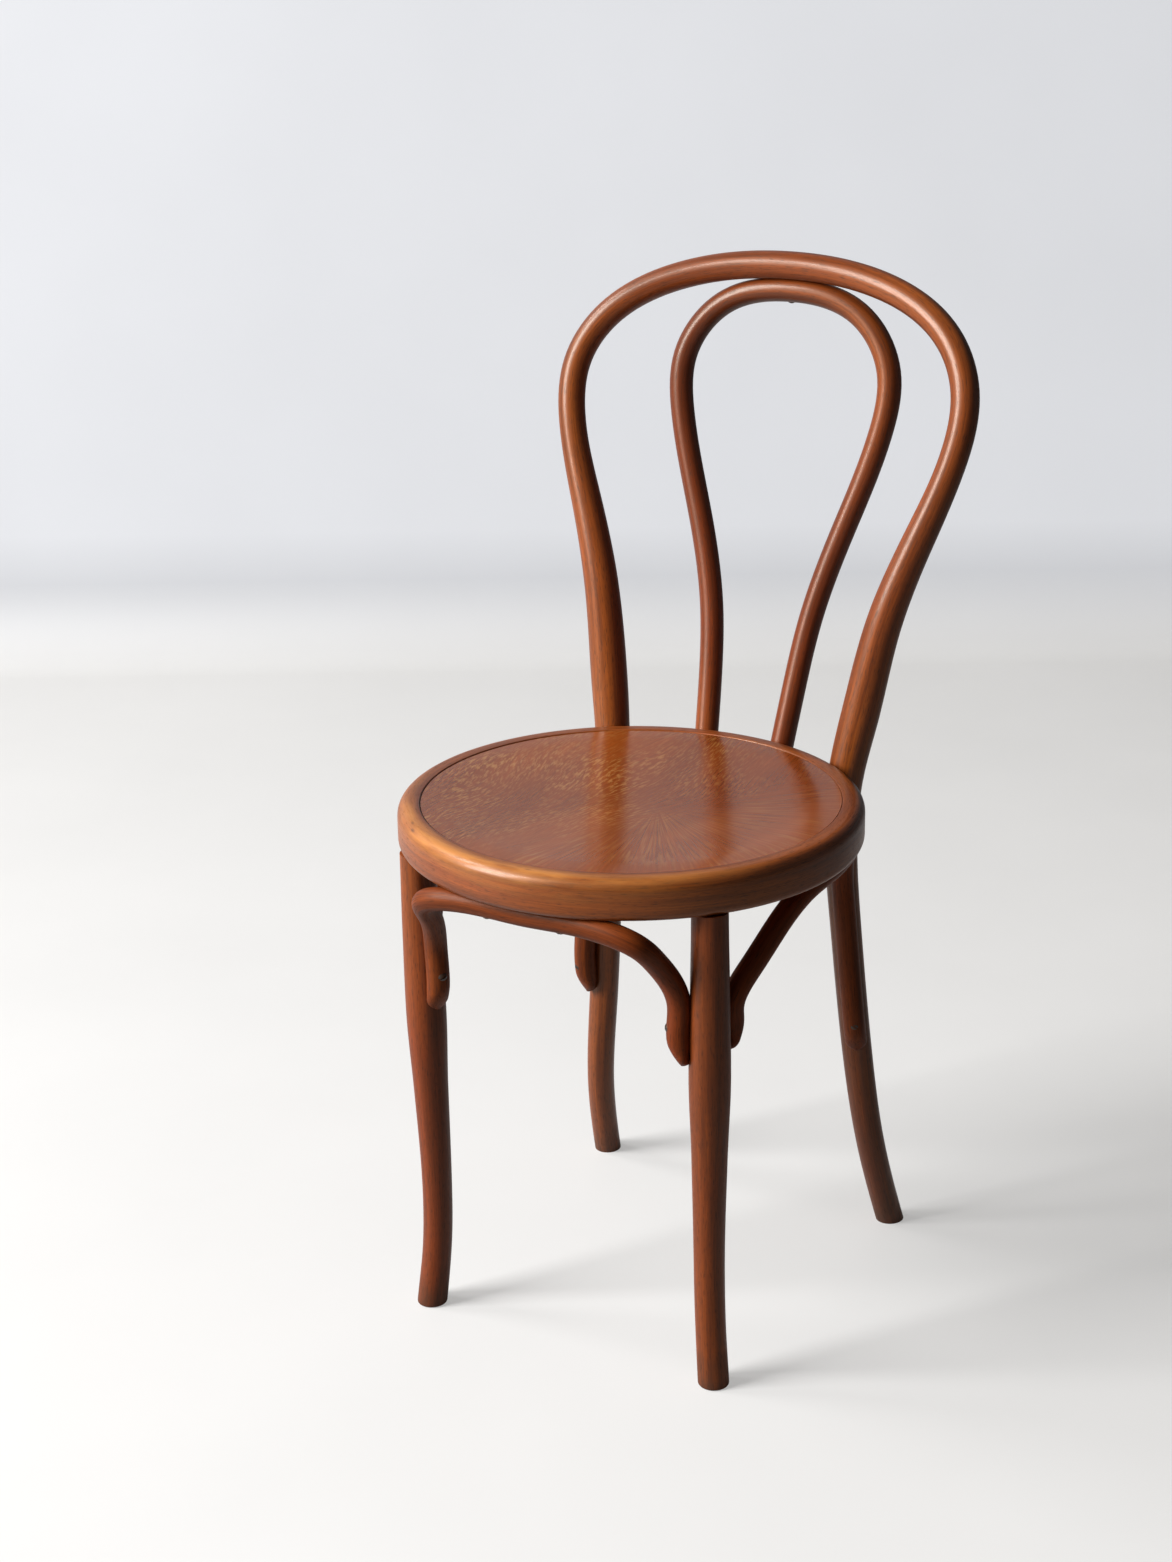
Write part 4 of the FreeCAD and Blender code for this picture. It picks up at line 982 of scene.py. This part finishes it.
class CHAIR_OT_front_legs(ChairOperator):
    """Turns the two front legs"""
    bl_idname = "chair.front_legs"
    bl_label = "Front Legs"

    def execute(self, context):
        shape = the_shape()
        for side, mirror in (("left", 1.0), ("right", -1.0)):
            bm = sweep(shape.leg)
            cut_off(bm, 0.0, DOWN, context.scene.chair_sizes.foot_round)
            cut_off(bm, shape.ring_base, UP)
            bmesh.ops.scale(bm, vec=(mirror, 1.0, 1.0), verts=bm.verts)
            finished(bm, "turned_leg_" + side, "front_leg_" + side,
                     material=beech("leg_" + side))
        return {"FINISHED"}


class CHAIR_OT_brackets(ChairOperator):
    """Bends the three brackets under the seat ring"""
    bl_idname = "chair.brackets"
    bl_label = "Brackets"

    def execute(self, context):
        shape = the_shape()
        front = ((0.0, shape.front_turn * FLIP), (1.0, shape.front_turn))
        sides = ((0.0, shape.side_turn), (1.0, shape.rear_turn))
        for name, line, feet, mirror in (("front_bracket", shape.front, front, 1.0),
                                         ("side_bracket_left", shape.side, sides, 1.0),
                                         ("side_bracket_right", shape.side, sides, -1.0)):
            bm = sweep(line, ROD_STEP / 2, feet)
            cut_off(bm, shape.ring_base + RAIL_SINK, UP)
            bmesh.ops.scale(bm, vec=(mirror, 1.0, 1.0), verts=bm.verts)
            finished(bm, "bent_" + name, name, material=beech(name))
        return {"FINISHED"}


class CHAIR_OT_seat_ring(ChairOperator):
    """Turns the seat ring, rounded outside and rebated for the panel"""
    bl_idname = "chair.seat_ring"
    bl_label = "Seat Ring"

    def execute(self, context):
        sizes = context.scene.chair_sizes
        outer = sizes.seat_radius
        bore = outer - sizes.ring_width
        rebate = outer - sizes.panel_inset
        top = sizes.ring_height
        ledge = top - sizes.panel_thickness - sizes.panel_sink
        corners = ((bore, 0.0), (outer, 0.0), (outer, top), (rebate, top), (rebate, ledge),
                   (bore, ledge))
        rounded = ((1, sizes.ring_low_round), (2, sizes.ring_top_round),
                   (3, sizes.edge_round), (0, sizes.edge_round))
        bm = spun(corners, rounded, sizes.seat_height - top)
        stick = bm.loops.layers.float_vector.new("stick")
        wear_and_sheen = bm.verts.layers.float.new("wear_and_sheen")
        middle = Vector((0.0, SEAT_Y, sizes.seat_height - top))
        for face in bm.faces:
            centre = face.calc_center_median() - middle
            face_turn = math.atan2(centre.x, -centre.y)
            for loop in face.loops:
                flat = loop.vert.co - middle
                turn = math.atan2(flat.x, -flat.y)
                turn += math.tau * round((face_turn - turn) / math.tau)
                radius = math.hypot(flat.x, flat.y)
                loop[stick] = (radius - outer, flat.z, turn * outer)
                # Golden band towards the front-left and the top outer edge: partly rubbed-off
                # stain, partly a painted highlight where the window light falls
                front = 0.0
                if abs(turn) < SHEEN_AND_WEAR_END:
                    front = max(0.0, math.cos((turn - SHEEN_AND_WEAR_MIDDLE) * SHEEN_AND_WEAR_SPREAD))
                fade = min(1.0, max(0.0, (radius - rebate) / SHEEN_AND_WEAR_FADE))
                loop.vert[wear_and_sheen] = front ** 1.5 * ((flat.z / top) ** 3 * fade)
        finished(bm, "bent_seat_ring", "seat_ring", material=beech("ring", edge=True))
        return {"FINISHED"}


class CHAIR_OT_seat_panel(ChairOperator):
    """Forms the dished plywood panel of the seat"""
    bl_idname = "chair.seat_panel"
    bl_label = "Seat Panel"

    def execute(self, context):
        sizes = context.scene.chair_sizes
        edge = sizes.seat_radius - sizes.panel_inset - sizes.panel_gap
        rim = sizes.seat_radius - sizes.panel_inset - sizes.panel_rim
        top = sizes.seat_height - sizes.panel_sink
        low = top - sizes.panel_thickness
        ball = (rim ** 2 + sizes.panel_dish ** 2) / (2 * sizes.panel_dish)
        dish = []
        for share in np.linspace(0.0, 1.0, DISH_STEPS)[1:]:
            across = rim * share
            fall = sizes.panel_dish - ball + math.sqrt(ball ** 2 - across ** 2)
            dish.append((across, fall))
        corners = [(0.0, low - sizes.panel_dish)]
        corners += [(across, low - fall) for across, fall in dish]
        corners += [(edge, low), (edge, top)]
        corners += [(across, top - fall) for across, fall in dish[::-1]]
        corners += [(0.0, top - sizes.panel_dish)]
        finished(spun(corners, (), 0.0), "formed_seat_panel", "seat_panel", slot="seat_ply",
                 material=veneer(), sharp=60)
        return {"FINISHED"}


class CHAIR_OT_screws(ChairOperator):
    """Sets the slotted screws of the brackets and bows"""
    bl_idname = "chair.screws"
    bl_label = "Screws"

    def execute(self, context):
        sizes = context.scene.chair_sizes
        shape = the_shape()
        feet = [shape.foot_screw(line, drop, turn)
                for line, drops, turn in ((shape.leg, FRONT_SCREWS, shape.front_turn),
                                          (shape.leg, SIDE_SCREWS, shape.side_turn),
                                          (shape.hoop, REAR_SCREWS, shape.rear_turn))
                for drop in drops]
        rails = [shape.rail_screw(shape.side, degrees) for degrees in RAIL_SCREW_ANGLES]
        rails.append(shape.rail_screw(shape.front, FRONT_RAIL_SCREW_ANGLE - 90))
        bow_point = shape.bow.at_height(shape.ring_base + POST_SCREW_LIFT)[0]
        reach = sizes.bow_width / 2 - SPOT_DEPTH
        bows = [(bow_point + shape.bow_out * reach, shape.bow_out)]
        crest = [(shape.bow_crest + shape.crest_line * reach, shape.crest_line)]
        for name, seats, pair in (("foot_screws", feet, True), ("rail_screws", rails, True),
                                  ("bow_screws", bows, True), ("crest_screw", crest, False)):
            bm = bmesh.new()
            for index, (seat, outward) in enumerate(seats):
                self.set_screw(bm, sizes, seat, outward,
                               FIRST_SLOT[0] + NEXT_SLOT[0] * index)
                if pair:
                    self.set_screw(bm, sizes, seat * FLIP, outward * FLIP,
                                   FIRST_SLOT[1] + NEXT_SLOT[1] * index)
            finished(bm, "slotted_" + name, name, slot="dark_steel", material=dark_steel(),
                     sharp=30)
        return {"FINISHED"}

    @staticmethod
    def set_screw(bm, sizes, seat, outward, slot_turn):
        """Adds one domed head with its slot and a stub of its shank."""
        head = sizes.screw_head / 2
        shank = head * SHANK_SHARE
        dome = (head ** 2 + sizes.screw_dome ** 2) / (2 * sizes.screw_dome)
        half = math.asin(head / dome)
        profile = [(dome * math.sin(a), sizes.screw_dome - dome + dome * math.cos(a))
                   for a in np.linspace(0.0, half, DOME_STEPS)]
        profile += [(shank, 0.0), (shank, -SHANK_LENGTH), (0.0, -SHANK_POINT)]
        new = bmesh.new()
        verts = [new.verts.new((x, 0.0, z)) for x, z in profile]
        for pair in zip(verts, verts[1:]):
            new.edges.new(pair)
        spin(new, SCREW_SIDES)
        bmesh.ops.remove_doubles(new, verts=new.verts, dist=MERGE)
        width = sizes.screw_slot / 2
        for side in (-width, width):
            cut(new, (side, 0.0, 0.0), (1.0, 0.0, 0.0))
        slot = [face for face in new.faces
                if abs(face.calc_center_median().x) < width
                and face.calc_center_median().z > 0.0]
        made = bmesh.ops.extrude_face_region(new, geom=slot)["geom"]
        bmesh.ops.delete(new, geom=slot, context="FACES")
        bmesh.ops.translate(new, verts=points_in(made),
                            vec=(0.0, 0.0, -sizes.screw_dome * SLOT_DEPTH))
        turn = Matrix.Rotation(math.radians(slot_turn), 4, "Z")
        stand = outward.to_track_quat("Z", "Y").to_matrix().to_4x4()
        bmesh.ops.transform(new, matrix=Matrix.Translation(seat) @ stand @ turn,
                            verts=new.verts)
        mesh = new_mesh(new, "one_screw")
        bm.from_mesh(mesh)
        bpy.data.meshes.remove(mesh)


class CHAIR_OT_bolts(ChairOperator):
    """Dresses the rear bolts, their washers and nuts"""
    bl_idname = "chair.bolts"
    bl_label = "Bolts"

    def execute(self, context):
        for name in ("hoop_bolts", "hoop_washers", "hoop_nuts"):
            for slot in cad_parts[name].material_slots:
                slot.material = dark_steel()
        return {"FINISHED"}


def level(azimuth):
    """Level directions away from a camera or lamp at an azimuth, and to its right."""
    turn = math.radians(azimuth)
    return (Vector((-math.sin(turn), math.cos(turn), 0.0)),
            Vector((math.cos(turn), math.sin(turn), 0.0)))


def towards(azimuth, elevation):
    """The direction from the target towards a camera or lamp."""
    a, e = math.radians(azimuth), math.radians(elevation)
    return Vector((math.sin(a) * math.cos(e), -math.cos(a) * math.cos(e), math.sin(e)))


def light_path(tree):
    """Masks of the rays from the camera, and of those from gloss and glass."""
    rays = add(tree, "ShaderNodeLightPath").outputs
    return rays["Is Camera Ray"], math_node(tree, "MAXIMUM", rays["Is Glossy Ray"],
                                            rays["Is Transmission Ray"])


class CHAIR_OT_studio(ChairOperator):
    """Lays the floor and sets the wall, the window light and the camera"""
    bl_idname = "chair.studio"
    bl_label = "Studio"

    def execute(self, context):
        look = context.scene.studio_look
        away, aside = level(CAMERA_AZIMUTH)
        self.backdrop(look, away, aside)
        self.lamp("window", look.window_power, *WINDOW)
        self.lamp("side_window", look.side_power, *SIDE_WINDOW)
        self.sky(context, look)
        self.camera(context, aside)
        context.scene.view_settings.view_transform = "Standard"
        return {"FINISHED"}

    @staticmethod
    def sky(context, look):
        """Faint even light, that looks as pale as the wall."""
        world = bpy.data.worlds.new("even_light")
        context.scene.world = world
        world.use_nodes = True
        tree = world.node_tree
        straight, mirrored_rays = light_path(tree)
        seen = math_node(tree, "MAXIMUM", straight,
                         times(tree, mirrored_rays, look.mirror_share / 2))
        fill(tree, tree.nodes["Background"], {
            "Color": look.wall,
            "Strength": ramp(tree, seen, 0.0, 1.0, look.sky_strength, look.sky_tone)})

    @staticmethod
    def sheet(look, away, aside):
        """The mesh of the floor, a soft cove and the wall."""
        wall = look.wall_distance
        rows = [(FLOOR_FRONT, 0.0), (wall - COVE, 0.0)]
        rows += [(wall - COVE + COVE * math.sin(a), COVE - COVE * math.cos(a))
                 for a in np.linspace(0.0, math.pi / 2, COVE_STEPS)[1:]]
        rows.append((wall, WALL_HEIGHT))
        bm = bmesh.new()
        start = [bm.verts.new(away * distance - aside * HALF_ROOM + UP * height)
                 for distance, height in rows]
        edges = [bm.edges.new(pair) for pair in zip(start, start[1:])]
        made = bmesh.ops.extrude_edge_only(bm, edges=edges)["geom"]
        bmesh.ops.translate(bm, verts=points_in(made), vec=aside * 2 * HALF_ROOM)
        bmesh.ops.recalc_face_normals(bm, faces=bm.faces)
        if bm.faces[0].normal.z < 0:
            bmesh.ops.reverse_faces(bm, faces=bm.faces)
        return new_mesh(bm, "backdrop")

    def backdrop(self, look, away, aside):
        """One pale sheet, seen from the front only, that keeps the chair's shadow."""
        mesh = self.sheet(look, away, aside)
        material, tree, shader = new_material("pale_room")
        place = add(tree, "ShaderNodeTexCoord").outputs["Object"]
        height = add(tree, "ShaderNodeSeparateXYZ", {0: place}).outputs[2]
        depth = vector_node(tree, "DOT_PRODUCT", place, away, "Value")
        across = vector_node(tree, "DOT_PRODUCT", place, aside, "Value")
        straight, mirrored_rays = light_path(tree)
        tone = mix(tree, ramp(tree, height, 0.0, COVE), look.floor, look.wall)
        tone = shade(tree, tone, ramp(tree, noise(tree, place, ROOM_SCALE, 3.0), 0.3, 0.7,
                                      0.98, 1.01))
        direct = math_node(tree, "MAXIMUM", straight, mirrored_rays)
        lit = times(tree, ramp(tree, height, 0.0, COVE, look.floor_share, look.wall_share),
                    ramp(tree, direct, 0.0, 1.0, look.bounce, 1.0))
        glow = ramp(tree, depth, GLOW_FRONT, look.wall_distance, look.near_glow, look.far_glow)
        glow = mix(tree, ramp(tree, height, 0.02, 0.2), grey(tree, glow),
                   grey(tree, look.wall_glow))
        bright = ramp(tree, across, 0.2, look.bright_width, 1.0, 0.0)
        seen = math_node(tree, "MAXIMUM", straight,
                         times(tree, mirrored_rays, times(tree, bright, look.mirror_share)))
        glow = shade(tree, glow, seen)
        fill(tree, shader, {"Base Color": shade(tree, tone, lit), "Roughness": 0.6,
                            "Emission Color": mix(tree, 1.0, tone, glow, "MULTIPLY"),
                            "Emission Strength": 1.0})
        behind = add(tree, "ShaderNodeNewGeometry").outputs["Backfacing"]
        clear = add(tree, "ShaderNodeBsdfTransparent").outputs[0]
        surface = add(tree, "ShaderNodeMixShader", {0: behind, 1: shader.outputs[0], 2: clear})
        fill(tree, tree.nodes["Material Output"], {"Surface": surface.outputs[0]})
        mesh.materials.append(material)
        sheet = new_object("backdrop", mesh)

    @staticmethod
    def lamp(name, power, size, azimuth, elevation):
        """A large soft lamp that looks at the seat."""
        data = bpy.data.lights.new(name, "AREA")
        data.energy = power
        data.shape = "RECTANGLE"
        data.size, data.size_y = size
        back = towards(azimuth, elevation)
        place = Matrix.Translation(TARGET + back * LAMP_DISTANCE)
        new_object(name, data).matrix_world = (
            place @ back.to_track_quat("Z", "Y").to_matrix().to_4x4())

    @staticmethod
    def camera(context, aside):
        """The camera at the photograph's viewing angle."""
        roll = math.radians(CAMERA_ROLL)
        back = towards(CAMERA_AZIMUTH, CAMERA_ELEVATION)
        right = aside * math.cos(roll) + back.cross(aside) * math.sin(roll)
        upward = back.cross(right)
        pixel = CAMERA_DISTANCE / CAMERA_FOCUS
        place = (TARGET + back * CAMERA_DISTANCE - right * TARGET_ACROSS * pixel
                 + upward * TARGET_BELOW * pixel)
        data = bpy.data.cameras.new("photo_camera")
        data.sensor_fit = "VERTICAL"
        data.lens = data.sensor_height * CAMERA_FOCUS / PHOTO_HEIGHT
        camera = new_object("photo_camera", data)
        turned = Matrix((right, upward, back)).transposed().to_4x4()
        camera.matrix_world = Matrix.Translation(place) @ turned
        context.scene.camera = camera


class CHAIR_PT_sidebar(bpy.types.Panel):
    """Sizes, finishes and builders of the chair"""
    bl_idname = "CHAIR_PT_sidebar"
    bl_label = "Bistro Chair"
    bl_space_type = "VIEW_3D"
    bl_region_type = "UI"
    bl_category = "Bistro Chair"

    def draw(self, context):
        layout = self.layout
        for group in (context.scene.chair_sizes, context.scene.chair_finish,
                      context.scene.studio_look):
            column = layout.column(align=True)
            for name in group.bl_rna.properties.keys():
                if name not in ("rna_type", "name"):
                    column.prop(group, name)
        column = layout.column(align=True)
        for operator in OPERATORS:
            column.operator(operator.bl_idname)


OPERATORS = (
    CHAIR_OT_rear_hoop,
    CHAIR_OT_inner_bow,
    CHAIR_OT_front_legs,
    CHAIR_OT_brackets,
    CHAIR_OT_seat_ring,
    CHAIR_OT_seat_panel,
    CHAIR_OT_screws,
    CHAIR_OT_bolts,
    CHAIR_OT_studio,
)
CLASSES = (ChairSizes, ChairFinish, StudioLook) + OPERATORS + (CHAIR_PT_sidebar,)


def register():
    for item in CLASSES:
        bpy.utils.register_class(item)
    bpy.types.Scene.chair_sizes = PointerProperty(type=ChairSizes)
    bpy.types.Scene.chair_finish = PointerProperty(type=ChairFinish)
    bpy.types.Scene.studio_look = PointerProperty(type=StudioLook)


def unregister():
    del bpy.types.Scene.studio_look
    del bpy.types.Scene.chair_finish
    del bpy.types.Scene.chair_sizes
    for item in reversed(CLASSES):
        bpy.utils.unregister_class(item)


def main():
    register()
    bpy.ops.chair.rear_hoop()
    bpy.ops.chair.inner_bow()
    bpy.ops.chair.front_legs()
    bpy.ops.chair.brackets()
    bpy.ops.chair.seat_ring()
    bpy.ops.chair.seat_panel()
    bpy.ops.chair.screws()
    bpy.ops.chair.bolts()
    bpy.ops.chair.studio()


if __name__ == "__main__":
    main()
